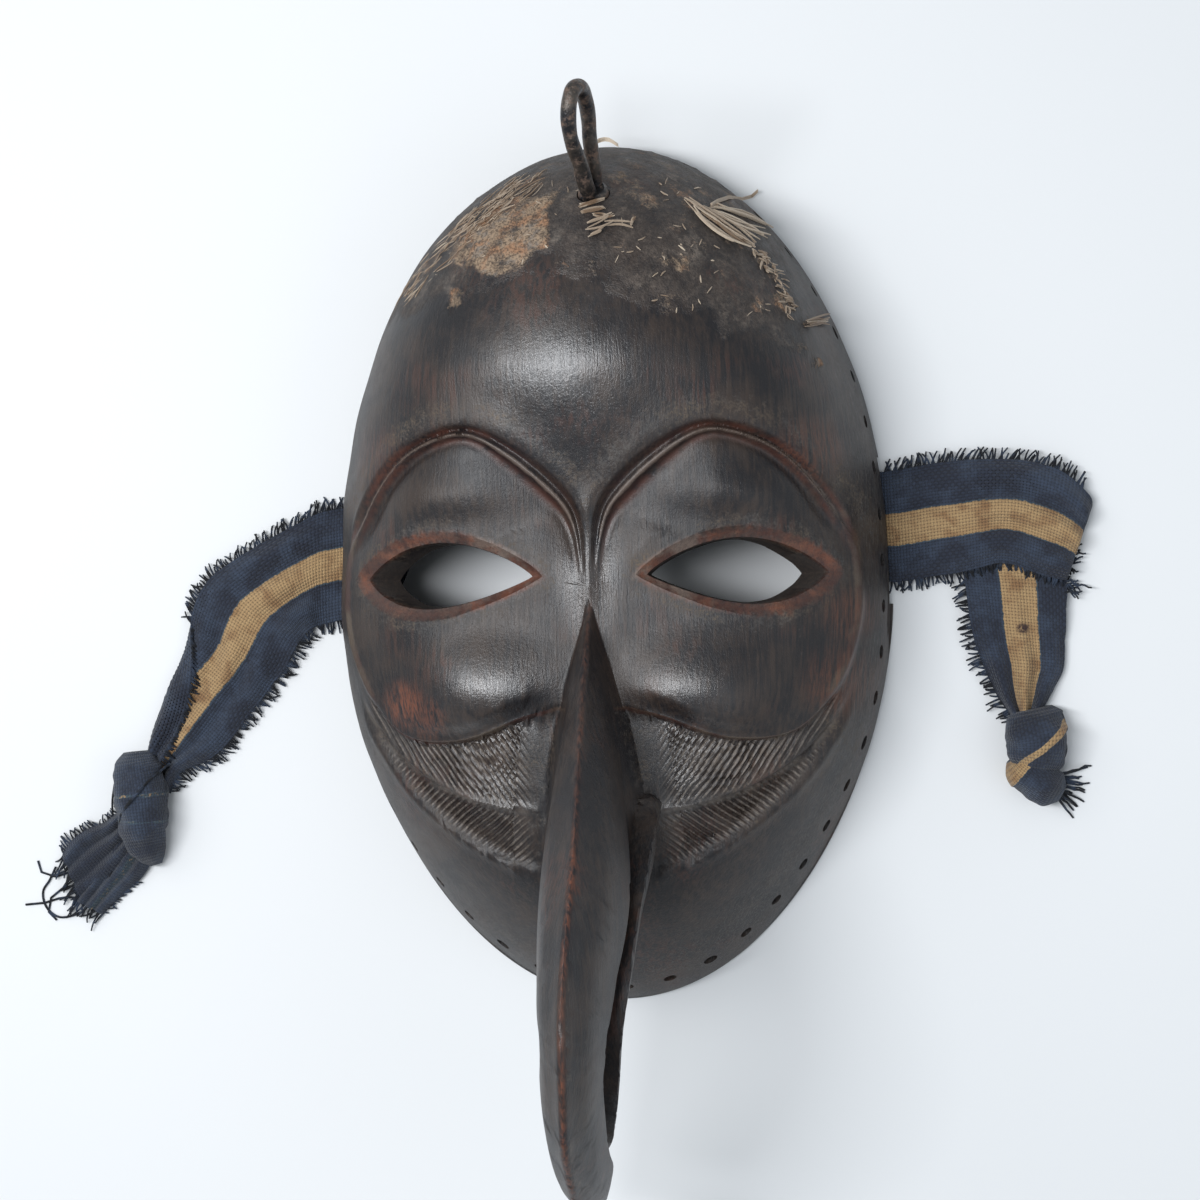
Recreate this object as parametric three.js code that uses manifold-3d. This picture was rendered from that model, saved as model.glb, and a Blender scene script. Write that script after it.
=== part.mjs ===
// A carved wooden face mask with a long bird's beak, an iron hanging loop and two cloth ties.
// It lies face up on its rim. Millimetres, +Z up, and +Y runs from the chin to the forehead.
import * as THREE from "three";
import { mergeVertices } from "three/addons/utils/BufferGeometryUtils.js";
import Module from "manifold-3d";

const wasm = await Module();
wasm.setup();

// Rim outline, from the middle of the face
const rimHalfWidth = 80.2;
const foreheadReach = 131.5;
const foreheadRoundness = 2.1;
const chinReach = 114;
const chinRoundness = 1.7;

// Shell: heights above the rim's plane, and how full the sides are (a low number is a steep side)
const faceHeight = 64;
const foreheadRise = 14;
const sideFullness = 0.6;
const foreheadFullness = 0.48;
const chinFullness = 0.8;
const riseSpan = [15, 75];
const foreheadSpan = [40, 110];
const chinSpan = [-30, -100];
const wallThickness = 10;

// Reach of each carved line, from the face centre, as [degrees above the level, mm], the same on both sides
const faceCentreY = 5;
const panelEdge = [[-90, 31], [-71, 34.5], [-59, 41.5], [-47, 56], [-36, 67], [-27, 70], [2, 72.2],
  [21, 70], [35, 66], [48, 59.5], [58, 50.5], [70, 36.5], [85, 24.3], [90, 22]];
const ribLine = [[-90, 61], [-69, 64.7], [-51, 70], [-38, 73.3], [-24, 75]];
const borderLine = [[-90, 82], [-70, 79.4], [-57, 78.4], [-45, 77.8], [-35, 77], [-24, 77]];

// Brow, as [mm inside the panel's edge, relief]: two grooves with a thin ridge between them
const browProfile = [[-3, 0], [0, 0.2], [2.6, -2.2], [4.6, -0.7],
  [6.8, -2.9], [9.2, -1.4], [14, -0.9], [24, 0]];
const browRings = [9.2, 6.8, 4.6, 2.6, 0];
const browEndAngle = 2;
const browFadeAngle = 16;

// Cheeks, lids and the herringbone field below them
const cheek = { x: 30.5, y: -23.5, halfWidth: 30, halfHeight: 21, rise: 4.2 };
const foreheadKeel = { x: 0, y: 68, halfWidth: 32, halfHeight: 54, rise: 2.3 };
const lid = { x: 42, y: 30, halfWidth: 26, halfHeight: 9, rise: 1.4 };
const cheekSoftEdge = 5;
const fieldDepth = 2.4;
const ribRise = 1.0;
const ribHalfWidth = 1.1;
const sideRingHeight = 25;
const fieldTopAngle = -22;
const fieldFullAngle = -34;
const stepWidth = 1.8;
const borderStepWidth = 1.6;
const strokeCount = 15;
const strokeDepth = 1.0;
const strokeStartAngle = -74;
const strokeEndAngle = -26;
const upperStrokeLean = -16;
const lowerStrokeLean = 2.5;
const strokeRings = [9, 10, 12, 13];

// Rings and spokes of the face: shares of the way between carved lines, and directions in degrees
const middleShares = [0.18, 0.4, 0.62, 0.83];
const plainShares = [0.03, 0.13, 0.26, 0.39, 0.52, 0.65, 0.77, 0.89, 1];
const sideShares = [0.36, 0.7, 1];
const rimRing = 18;
const chinAngles = [-90, -84, -79];
const plainSpokes = 21;

// Eyes: a pointed lens with a bevel round it
const eye = { x: 40.4, y: 8.2, halfLength: 24.8, up: 9.6, down: 8.5, bevel: 3, bevelDepth: 1.8 };
const eyeSides = 28;
const eyeCorner = 0.85;
const eyeSkewUp = 0.05;
const eyeSkewDown = 0.22;
const eyeTaper = 0.6;
const eyeOverrun = 6;
const eyeAbove = 25;

// Beak: [y, z] of its crest, half widths and depths along it, and how far it strays sideways at each y
const crestPath = [[8, 58], [-26, 86], [-60, 108], [-88, 122.5], [-110, 127],
  [-131, 120.5], [-149, 103], [-161.5, 79], [-166, 54]];
const crestHalfWidth = 1.2;
const beakHalfWidths = [[0, 1.6], [0.15, 6.6], [0.25, 9.8], [0.36, 12.1], [0.49, 10.5], [0.59, 9.0],
  [0.68, 8.5], [0.78, 8.1], [0.88, 7.5], [0.95, 7.0], [1, 5]];
const beakDepths = [[0, 7], [0.15, 20], [0.3, 25], [0.64, 25], [0.76, 21.5], [0.86, 17], [0.94, 14], [1, 9]];
const beakDrift = [[-165, -3.0], [-152, -3.0], [-138, -2.7], [-126, -2.0], [-112, -1.6], [-100, -1.5],
  [-88, -1.0], [-63, 0.2], [-40, 0.2], [0, 0]];
const rootHalfWidths = [[0, 1.8], [0.33, 7.9], [0.66, 12.2], [1, 14.6]];
const rootStartY = -2;
const rootEndY = -65;
const lowerTopPath = [[-50, 62], [-70, 77], [-90, 87.5], [-108, 91.5], [-126, 84], [-141, 68], [-151, 53]];
const lowerHalfWidths = [[0, 15.5], [0.2, 13.6], [0.27, 12.6], [0.335, 12.2], [0.41, 11.8], [0.48, 11.2],
  [0.54, 10.5], [0.7, 9.1], [0.82, 7.5], [0.93, 5.6], [1, 3]];
const lowerDrift = [[-151, -3.2], [-143, -2.3], [-126, -1.1], [-110, -0.2], [-97, 0.6],
  [-88, 1.3], [-75, 2.2], [-63, 2.8], [-50, 2.8]];
const lowerThicknesses = [[0, 22], [0.2, 19], [0.45, 14], [0.8, 10], [1, 4]];

// Row of holes round the rim
const rimHoleCount = 48;
const rimHoleRadius = 2.1;
const rimHoleHeight = 13;
const rimHoleSides = 5;
const rimHoleSlope = 0.35;
const rimHoleReach = 4;

// Hanging loop: where its foot stands, how it leans, and one half of its outline as [up, across]
const rodRadius = 2.1;
const loopFoot = [2, 112, 55];
const loopLean = 51;
const loopTilt = 4;
const loopTurn = 20;
const loopHalf = [[-1, 1.3], [5, 2.9], [10, 3.6], [16, 4.2], [22, 5.5], [28, 6.2], [33, 5.3], [36.2, 3.2]];
const loopTop = 37.8;
const shankRadius = 4.2;
const shankDepth = 6;
const shankTop = 2.4;
const socketTop = 8;
const fitGap = 0.35;

// Cloth ties: strips of cloth, with the notch under the rim that each one comes out of
const clothThickness = 2.4;
const clothFloor = 0.3;
const notchHeight = 4.6;
const notchHalfWidth = 21;
const leftTieY = 13;
const rightTieY = 20;

// Stations along each strip: [x, y, height over the floor, half width, heading in degrees]
const leftStrip = [
  [-52, 42, 2, 5, 160], [-62, 26, 0, 7, 145], [-71, leftTieY + 3, 0, 15, 104],
  [-81.5, leftTieY, 0, 18.5, 91], [-95, 7, 2, 18.5, 119], [-109, -7, 3, 19, 137],
  [-120, -22, 2, 15, 143], [-129, -37, 1, 9, 143], [-137, -50, 1, 6, 143],
];
const leftTail = [[-139, -60, 0, 8, 150], [-147, -68, 0, 10, 145],
  [-158, -76, 0, 17, 130], [-162, -79, 0, 18, 130]];
const rightStrip = [
  [52, 46, 2, 5, 25], [62, 31, 0, 7, 44], [71, rightTieY + 3, 0, 14, 78], [82, rightTieY, 0, 17, 90],
  [96, 22.5, 3, 18.5, 90], [113, 23.5, 4, 18, 92], [128, 21, 4, 16.5, 98], [135, 19, 1, 13, 98],
];
const rightLeg = [[124, 20, 0, 15, 150], [116, 4, 0, 15, 175], [115, -12, 0, 12.5, 185],
  [118, -28, 0, 6.5, 190], [119, -38, 0, 5, 190]];
const rightTail = [[124, -50, 0, 6, 60], [131, -52, 0, 7, 75], [136, -52, 0, 8, 80]];

// Knots: middle, length, width, height and heading
const leftInnerKnot = [-51, 44, 16, 22, 13, -12];
const leftOuterKnot = [-139.5, -57, 32, 19, 17, 62];
const rightInnerKnot = [51, 48, 16, 22, 13, 12];
const rightOuterKnot = [120, -45, 26, 17, 16, 100];

const clamp = THREE.MathUtils.clamp;
const fade = (from, to, value) => {
  const t = clamp((value - from) / (to - from), 0, 1);
  return t * t * (3 - 2 * t);
};

// Straight lines between the points of a table
function along(table, at) {
  if (at <= table[0][0]) return table[0][1];
  for (let i = 1; i < table.length; i++) {
    const [x0, y0] = table[i - 1];
    const [x1, y1] = table[i];
    if (at <= x1) return y0 + ((y1 - y0) * (at - x0)) / (x1 - x0);
  }
  return table[table.length - 1][1];
}

// A smooth curve through the points of a table
function smoothAlong(table, at) {
  const last = table.length - 1;
  if (at <= table[0][0]) return table[0][1];
  if (at >= table[last][0]) return table[last][1];
  const i = table.findIndex((point) => point[0] >= at);
  const slope = (k) => {
    const a = table[Math.max(k - 1, 0)];
    const b = table[Math.min(k + 1, last)];
    return (b[1] - a[1]) / (b[0] - a[0]);
  };
  const [x0, y0] = table[i - 1];
  const [x1, y1] = table[i];
  const w = x1 - x0;
  const t = (at - x0) / w;
  const rise = y1 - y0;
  const m0 = slope(i - 1) * w;
  const m1 = slope(i) * w;
  return y0 + m0 * t + (3 * rise - 2 * m0 - m1) * t * t + (m0 + m1 - 2 * rise) * t * t * t;
}

// Share of the way from the middle (0) to the rim (1), squared, for an outline drawn in by inset
function spread(x, y, inset) {
  const across = (x / (rimHalfWidth - inset)) ** 2;
  if (y > 0) return across + (y / (foreheadReach - inset)) ** foreheadRoundness;
  return across + (-y / (chinReach - inset)) ** chinRoundness;
}

// Height of the plain shell, without its carving
function shellHeight(x, y, inset = 0) {
  const s = Math.min(spread(x, y, inset), 1);
  const top = faceHeight + foreheadRise * fade(...riseSpan, y) - inset;
  const upper = (foreheadFullness - sideFullness) * fade(...foreheadSpan, y);
  const lower = (chinFullness - sideFullness) * fade(...chinSpan, y);
  return top * (1 - s * s) ** (sideFullness + upper + lower);
}

// Distance from the face centre to the rim in one direction
function rimReach(angle, inset = 0) {
  let near = 0;
  let far = 200;
  while (far - near > 1e-4) {
    const middle = (near + far) / 2;
    const x = middle * Math.cos(angle);
    const y = faceCentreY + middle * Math.sin(angle);
    if (spread(x, y, inset) < 1) near = middle;
    else far = middle;
  }
  return near;
}

// Outward normal of the plain shell
function shellNormal(x, y) {
  const step = 0.25;
  const pull = Math.min(1, 0.985 / Math.sqrt(spread(x, y, 0) + 1e-6));
  const u = x * pull;
  const v = y * pull;
  const dx = (shellHeight(u + step, v) - shellHeight(u - step, v)) / (2 * step);
  const dy = (shellHeight(u, v + step) - shellHeight(u, v - step)) / (2 * step);
  return new THREE.Vector3(-dx, -dy, 1).normalize();
}

// Angle on the right-hand half, in degrees, and distance from the face centre
function polar(x, y) {
  const side = Math.abs(x);
  const rise = y - faceCentreY;
  return [THREE.MathUtils.radToDeg(Math.atan2(rise, side)), Math.hypot(side, rise)];
}

// How a step along a ray shortens when it is measured square to the panel's edge
function edgeSlant(angle) {
  const reach = smoothAlong(panelEdge, angle);
  const to = Math.min(angle + 2, 90);
  const from = Math.max(angle - 2, -90);
  const rise = smoothAlong(panelEdge, to) - smoothAlong(panelEdge, from);
  const turn = rise / THREE.MathUtils.degToRad(to - from);
  return Math.max(reach / Math.hypot(reach, turn), 0.5);
}

function bump(shape, x, y) {
  const far = Math.hypot((Math.abs(x) - shape.x) / shape.halfWidth, (y - shape.y) / shape.halfHeight);
  return shape.rise * (1 - fade(0, 1, far));
}

// Height of the carving above or below the plain shell
function relief(x, y) {
  const [angle, reach] = polar(x, y);
  const inside = (smoothAlong(panelEdge, angle) - reach) * edgeSlant(angle);
  const brow = fade(browEndAngle, browFadeAngle, angle);
  const field = fade(fieldTopAngle, fieldFullAngle, angle);
  let height = brow * along(browProfile, inside);
  height += bump(cheek, x, y) * fade(0, cheekSoftEdge, inside) + bump(lid, x, y);
  height += bump(foreheadKeel, x, y);
  if (inside < 0) {
    const rib = smoothAlong(ribLine, angle);
    const border = smoothAlong(borderLine, angle);
    const depth = along([[0, 0], [stepWidth, -fieldDepth]], -inside);
    const out = fade(border - borderStepWidth, border, reach);
    const crest = ribRise * Math.max(0, 1 - Math.abs(reach - rib) / ribHalfWidth);
    height += field * (1 - out) * (depth + crest);
  }
  return height;
}

// Point of the carved face, raised by lift along the shell's normal
function facePoint(x, y, lift = 0) {
  const normal = shellNormal(x, y);
  const height = shellHeight(x, y);
  return new THREE.Vector3(x, y, height).addScaledVector(normal, relief(x, y) + lift);
}

// Closed solid through rings of points, with a fan of faces over each end
function loft(rings, firstMiddle, lastMiddle) {
  const sides = rings[0].length;
  const middle = (ring) => ring.reduce((sum, p) => sum.add(p), new THREE.Vector3()).divideScalar(sides);
  const ends = [firstMiddle || middle(rings[0]), lastMiddle || middle(rings[rings.length - 1])];
  const points = rings.flat().concat(ends);
  const faces = [];
  for (let r = 0; r + 1 < rings.length; r++) {
    for (let i = 0; i < sides; i++) {
      const a = r * sides + i;
      const b = r * sides + ((i + 1) % sides);
      faces.push(a, b, b + sides, a, b + sides, a + sides);
    }
  }
  const lastRing = (rings.length - 1) * sides;
  for (let i = 0; i < sides; i++) {
    const next = (i + 1) % sides;
    faces.push(next, i, points.length - 2, lastRing + i, lastRing + next, points.length - 1);
  }
  const geometry = new THREE.BufferGeometry().setFromPoints(points);
  geometry.setIndex(faces);
  return solidOf(geometry);
}

// Solid for cutting and joining, from a closed geometry
function solidOf(geometry) {
  const bare = geometry.clone();
  bare.deleteAttribute("normal");
  bare.deleteAttribute("uv");
  const merged = mergeVertices(bare, 1e-4);
  const vertProperties = new Float32Array(merged.attributes.position.array);
  const triVerts = new Uint32Array(merged.index.array);
  const solid = new wasm.Manifold(new wasm.Mesh({ numProp: 3, vertProperties, triVerts }));
  if (solid.volume() > 0) return solid;
  for (let i = 0; i < triVerts.length; i += 3) triVerts.subarray(i, i + 2).reverse();
  return new wasm.Manifold(new wasm.Mesh({ numProp: 3, vertProperties, triVerts }));
}

function joined(solids) {
  return solids.reduce((sum, solid) => sum.add(solid));
}

function meshOf(name, solid, colour, roughness, metalness) {
  const { vertProperties, triVerts } = solid.getMesh();
  const geometry = new THREE.BufferGeometry();
  geometry.setAttribute("position", new THREE.BufferAttribute(vertProperties, 3));
  geometry.setIndex(new THREE.BufferAttribute(triVerts, 1));
  geometry.computeVertexNormals();
  const material = new THREE.MeshStandardMaterial({ color: colour, roughness, metalness });
  material.flatShading = true;
  const mesh = new THREE.Mesh(geometry, material);
  mesh.name = name;
  return mesh;
}

// Distance from the face centre to where the shell has come down to a given height
function reachAtHeight(angle, height) {
  let near = 0;
  let far = rimReach(angle);
  while (far - near > 1e-3) {
    const middle = (near + far) / 2;
    const x = middle * Math.cos(angle);
    const y = faceCentreY + middle * Math.sin(angle);
    if (shellHeight(x, y) > height) near = middle;
    else far = middle;
  }
  return near;
}

// Distances of the rings from the face centre in one direction, from the middle to the rim
function ringReaches(angle) {
  const degrees = polar(Math.cos(angle), faceCentreY + Math.sin(angle))[0];
  const edge = smoothAlong(panelEdge, degrees);
  const rim = rimReach(angle);
  const slant = edgeSlant(degrees);
  const bands = browRings.map((step) => edge - step / slant);
  const inner = middleShares.map((share) => share * bands[0]);
  const side = reachAtHeight(angle, sideRingHeight);
  const plain = plainShares.map((share) => edge + (side - edge) * share);
  const rib = smoothAlong(ribLine, degrees);
  const border = smoothAlong(borderLine, degrees);
  const toSide = sideShares.map((share) => border + (side - border) * share);
  const ribRings = [rib - ribHalfWidth, rib, rib + ribHalfWidth];
  const carved = [edge + stepWidth / slant, ...ribRings, border - borderStepWidth, border, ...toSide];
  const field = fade(fieldTopAngle, fieldFullAngle, degrees);
  const outer = plain.map((reach, i) => reach + field * (carved[i] - reach));
  return [...inner, ...bands, ...outer, rim];
}

// Directions of the spokes on the right-hand half, in degrees, with two to each herringbone stroke
function spokeAngles() {
  const angles = [...chinAngles];
  const strokes = 2 * strokeCount;
  const stroke = (strokeEndAngle - strokeStartAngle) / strokes;
  for (let i = 0; i <= strokes; i++) angles.push(strokeStartAngle + i * stroke);
  const rest = (90 - strokeEndAngle) / plainSpokes;
  for (let i = 1; i <= plainSpokes; i++) angles.push(strokeEndAngle + i * rest);
  return angles;
}

// The strokes lean one way above the rib and the other way below it
function spokeLean(ring, angle) {
  const full = upperStrokeLean + lowerStrokeLean;
  const leans = { 10: upperStrokeLean * 0.92, 11: upperStrokeLean, 12: upperStrokeLean, 13: full, 14: full };
  const easing = { 15: full * 0.66, 16: full * 0.33 };
  const window = clamp((angle + 90) / 18, 0, 1) * (1 - fade(-30, 0, angle));
  return (leans[ring] || easing[ring] || 0) * window;
}

function makeShell() {
  const right = spokeAngles();
  const left = right.slice(1, -1).reverse();
  const spokes = [...right.map((angle) => [angle, 1]), ...left.map((angle) => [angle, -1])];
  const rings = [];
  for (let ring = 0; ring < ringReaches(0).length; ring++) {
    rings.push(spokes.map(([angle, side]) => {
      const direction = THREE.MathUtils.degToRad(angle + spokeLean(ring, angle));
      const reach = ringReaches(direction)[ring];
      const x = side * reach * Math.cos(direction);
      const y = faceCentreY + reach * Math.sin(direction);
      if (ring === rimRing) return new THREE.Vector3(x, y, 0);
      const inStrokes = angle > strokeStartAngle && angle < strokeEndAngle;
      const odd = right.indexOf(angle) % 2 === 0;
      const groove = inStrokes && odd && strokeRings.includes(ring);
      return facePoint(x, y, groove ? -strokeDepth : 0);
    }));
  }
  return loft(rings.reverse(), new THREE.Vector3(0, faceCentreY, 0), facePoint(0, faceCentreY));
}

function makeHollow() {
  const sides = 30;
  const below = -4;
  const spokes = Array.from({ length: sides }, (_, i) => (i * 2 * Math.PI) / sides);
  const shares = [0.25, 0.45, 0.62, 0.76, 0.87, 0.94, 0.98];
  const ring = (share, z) =>
    spokes.map((angle) => {
      const reach = share * rimReach(angle, wallThickness);
      const x = reach * Math.cos(angle);
      const y = faceCentreY + reach * Math.sin(angle);
      return new THREE.Vector3(x, y, z === undefined ? shellHeight(x, y, wallThickness) : z);
    });
  const rings = [ring(1, below), ring(1, 0), ...shares.reverse().map((share) => ring(share))];
  const top = new THREE.Vector3(0, faceCentreY, shellHeight(0, faceCentreY, wallThickness));
  return loft(rings, undefined, top);
}

// Eye hole and bevel: rings of a pointed lens that follow the face, then run through the wall
function makeEyeCutter(side) {
  const lens = (grow, lift) =>
    Array.from({ length: eyeSides }, (_, i) => {
      const turn = (i * 2 * Math.PI) / eyeSides;
      const across = Math.cos(turn);
      const upper = Math.sin(turn) > 0;
      const skewed = across - (upper ? eyeSkewUp : eyeSkewDown) * (1 - across * across);
      const lens = Math.max(1 - skewed * skewed, 0) ** eyeCorner;
      const tall = upper ? eye.up + grow : -eye.down - grow;
      return facePoint(side * (eye.x + (eye.halfLength + grow) * across), eye.y + tall * lens, lift);
    });
  const steep = eye.bevelDepth / eye.bevel;
  const out = eye.bevel * 2;
  const above = facePoint(side * eye.x, eye.y, eyeAbove);
  const through = lens(-eyeTaper, -wallThickness - eyeOverrun);
  const rings = [lens(out, (out - eye.bevel) * steep), lens(0, -eye.bevelDepth), through];
  return loft(rings, above);
}

function makeRimHoles() {
  const samples = 720;
  const outline = Array.from({ length: samples + 1 }, (_, i) => {
    const angle = (i * 2 * Math.PI) / samples;
    const reach = rimReach(angle);
    return new THREE.Vector3(reach * Math.cos(angle), faceCentreY + reach * Math.sin(angle), angle);
  });
  const run = [0];
  for (let i = 1; i <= samples; i++) {
    const step = Math.hypot(outline[i].x - outline[i - 1].x, outline[i].y - outline[i - 1].y);
    run.push(run[i - 1] + step);
  }
  return Array.from({ length: rimHoleCount }, (_, k) => {
    const goal = ((k + 0.5) * run[samples]) / rimHoleCount;
    const angle = outline[run.findIndex((length) => length >= goal)].z;
    const reach = reachAtHeight(angle, rimHoleHeight);
    const x = reach * Math.cos(angle);
    const y = faceCentreY + reach * Math.sin(angle);
    const normal = shellNormal(x, y);
    normal.z = Math.min(normal.z, rimHoleSlope);
    normal.normalize();
    const length = wallThickness * 2.4;
    const hole = new THREE.CylinderGeometry(rimHoleRadius, rimHoleRadius, length, rimHoleSides);
    hole.applyQuaternion(new THREE.Quaternion().setFromUnitVectors(new THREE.Vector3(0, 1, 0), normal));
    const middle = new THREE.Vector3(x, y, shellHeight(x, y));
    middle.addScaledVector(normal, rimHoleReach - length / 2);
    return solidOf(hole.translate(middle.x, middle.y, middle.z));
  });
}

// Crest of the beak and the two directions of a section across it
function curveThrough(points) {
  return new THREE.CatmullRomCurve3(points.map(([y, z]) => new THREE.Vector3(0, y, z)));
}

function sectionAt(curve, share, outline, sideways) {
  const tangent = curve.getTangentAt(share);
  const up = new THREE.Vector3(0, tangent.z, -tangent.y);
  const at = curve.getPointAt(share);
  const drift = smoothAlong(sideways, at.y);
  return outline.map(([x, drop]) => at.clone().addScaledVector(up, -drop).setX(x + drift));
}

// The second half of a section, as the first seen in a mirror
function withMirror(half) {
  return [...half, ...half.map(([x, drop]) => [-x, drop]).reverse()];
}

function makeUpperBeak() {
  const crest = curveThrough(crestPath);
  const stations = 16;
  const rings = Array.from({ length: stations + 1 }, (_, i) => {
    const share = i / stations;
    const wide = smoothAlong(beakHalfWidths, share);
    const deep = smoothAlong(beakDepths, share);
    const narrow = Math.min(crestHalfWidth, wide * 0.5);
    const flank = [[narrow, 0], [wide * 0.62, deep * 0.34], [wide * 0.95, deep * 0.78]];
    const half = [...flank, [wide, deep], [wide * 0.5, deep - 1.5]];
    return sectionAt(crest, share, withMirror(half), beakDrift);
  });
  return loft(rings);
}

// Solid foot of the beak, where its flanks spread into the cheeks
function makeBeakRoot() {
  const crest = curveThrough(crestPath);
  const stations = 6;
  const crestHeight = (y) => {
    let near = 0;
    let far = 0.6;
    while (far - near > 1e-4) {
      const middle = (near + far) / 2;
      if (crest.getPointAt(middle).y > y) near = middle;
      else far = middle;
    }
    return crest.getPointAt(near).z;
  };
  const rings = Array.from({ length: stations + 1 }, (_, i) => {
    const share = i / stations;
    const y = THREE.MathUtils.lerp(rootStartY, rootEndY, share);
    const wide = smoothAlong(rootHalfWidths, share);
    const foot = shellHeight(wide, y) - 3;
    const top = crestHeight(y) - 3;
    const drift = smoothAlong(beakDrift, y);
    const half = [[1, top], [wide * 0.55, foot + (top - foot) * 0.56], [wide, foot + 2.5], [wide, foot - 9]];
    return withMirror(half).map(([x, z]) => new THREE.Vector3(x + drift, y, z));
  });
  return loft(rings);
}

function makeLowerBeak() {
  const top = curveThrough(lowerTopPath);
  const stations = 10;
  const rings = Array.from({ length: stations + 1 }, (_, i) => {
    const share = i / stations;
    const wide = smoothAlong(lowerHalfWidths, share);
    const thick = smoothAlong(lowerThicknesses, share);
    const half = [[wide * 0.5, 1], [wide, 0], [wide * 0.9, thick * 0.55], [wide * 0.4, thick]];
    return sectionAt(top, share, withMirror(half), lowerDrift);
  });
  return loft(rings);
}

// Notch under the rim for a tie: a low slot through the wall
function makeNotch(side, y) {
  const slot = new THREE.BoxGeometry(wallThickness * 3, 2 * notchHalfWidth, 2 * notchHeight);
  return solidOf(slot.translate(side * (rimHalfWidth - wallThickness * 0.6), y, 0));
}

// Local axes of the loop: along its length, and across its eye
const lean = THREE.MathUtils.degToRad(loopLean);
const turn = THREE.MathUtils.degToRad(loopTurn);
const tilt = new THREE.Matrix4().makeRotationZ(THREE.MathUtils.degToRad(loopTilt));
const loopAlong = new THREE.Vector3(0, Math.cos(lean), Math.sin(lean)).applyMatrix4(tilt);
const loopSide = new THREE.Vector3(0, -Math.sin(lean), Math.cos(lean)).multiplyScalar(Math.cos(turn));
const loopAcross = loopSide.setX(-Math.sin(turn)).applyMatrix4(tilt);

function loopPoint(up, across) {
  return new THREE.Vector3(...loopFoot).addScaledVector(loopAlong, up).addScaledVector(loopAcross, across);
}

function makeShank(radius, bottom, top) {
  const shank = new THREE.CylinderGeometry(radius, radius, top - bottom, 10);
  shank.applyQuaternion(new THREE.Quaternion().setFromUnitVectors(new THREE.Vector3(0, 1, 0), loopAlong));
  const middle = loopPoint((top + bottom) / 2, 0);
  return solidOf(shank.translate(middle.x, middle.y, middle.z));
}

// One rod bent to an oval eye, with both ends in the shank
function makeLoop() {
  const otherHalf = loopHalf.map(([up, across]) => [up, -across]).reverse();
  const outline = [...loopHalf, [loopTop, 0], ...otherHalf];
  const path = new THREE.CatmullRomCurve3(outline.map(([up, across]) => loopPoint(up, across)));
  const normal = loopAlong.clone().cross(loopAcross).normalize();
  const steps = 24;
  const sides = 8;
  const rings = Array.from({ length: steps + 1 }, (_, i) => {
    const at = path.getPointAt(i / steps);
    const out = path.getTangentAt(i / steps).cross(normal).normalize();
    return Array.from({ length: sides }, (_, k) => {
      const turnRound = ((k + 0.5) * 2 * Math.PI) / sides;
      const offset = out.clone().multiplyScalar(Math.cos(turnRound) * rodRadius);
      return at.clone().add(offset).addScaledVector(normal, Math.sin(turnRound) * rodRadius);
    });
  });
  return loft(rings).add(makeShank(shankRadius, -shankDepth, shankTop));
}

// Strip of cloth through its stations
function makeStrip(stations) {
  const rings = stations.map(([x, y, height, half, heading]) => {
    const angle = THREE.MathUtils.degToRad(heading);
    const across = new THREE.Vector3(Math.cos(angle), Math.sin(angle), 0);
    const at = new THREE.Vector3(x, y, clothFloor + height);
    const corner = (share, up) => at.clone().addScaledVector(across, half * share).setZ(at.z + up);
    return [corner(-1, 0), corner(1, 0), corner(1, clothThickness), corner(-1, clothThickness)];
  });
  return loft(rings);
}

function makeKnot(x, y, lengthways, widthways, high, heading) {
  const knot = new THREE.SphereGeometry(1, 10, 7).scale(lengthways / 2, widthways / 2, high / 2);
  knot.rotateZ(THREE.MathUtils.degToRad(heading));
  return solidOf(knot.translate(x, y, clothFloor + high / 2));
}

function makeLeftTie() {
  const knots = [makeKnot(...leftInnerKnot), makeKnot(...leftOuterKnot)];
  return joined([makeStrip(leftStrip), makeStrip(leftTail), ...knots]);
}

function makeRightTie() {
  const knots = [makeKnot(...rightInnerKnot), makeKnot(...rightOuterKnot)];
  return joined([makeStrip(rightStrip), makeStrip(rightLeg), makeStrip(rightTail), ...knots]);
}

function makeMask() {
  const body = joined([makeShell(), makeUpperBeak(), makeBeakRoot(), makeLowerBeak()]);
  const socket = makeShank(shankRadius + fitGap, -shankDepth - fitGap, socketTop);
  const cutters = [
    makeHollow(),
    makeEyeCutter(-1),
    makeEyeCutter(1),
    makeNotch(-1, leftTieY),
    makeNotch(1, rightTieY),
    socket,
    ...makeRimHoles(),
  ];
  return cutters.reduce((left, cutter) => left.subtract(cutter), body);
}

const object = new THREE.Group();
object.add(meshOf("mask", makeMask(), 0x2b211c, 0.45, 0));
object.add(meshOf("hanging-loop", makeLoop(), 0x25221f, 0.5, 0.8));
object.add(meshOf("left-tie", makeLeftTie(), 0x1d2636, 0.95, 0));
object.add(meshOf("right-tie", makeRightTie(), 0x1d2636, 0.95, 0));

// The origin is under the middle of the whole object, at the height of the surface that it lies on
const box = new THREE.Box3().setFromObject(object);
const middle = box.getCenter(new THREE.Vector3());
object.position.set(-middle.x, -middle.y, -box.min.z);

export default object;
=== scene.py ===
# Carved bird mask with an iron hanging loop and two cloth ties, lying face up on a pale table
import math

import bpy
import numpy as np
from mathutils import Matrix, Vector


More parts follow.
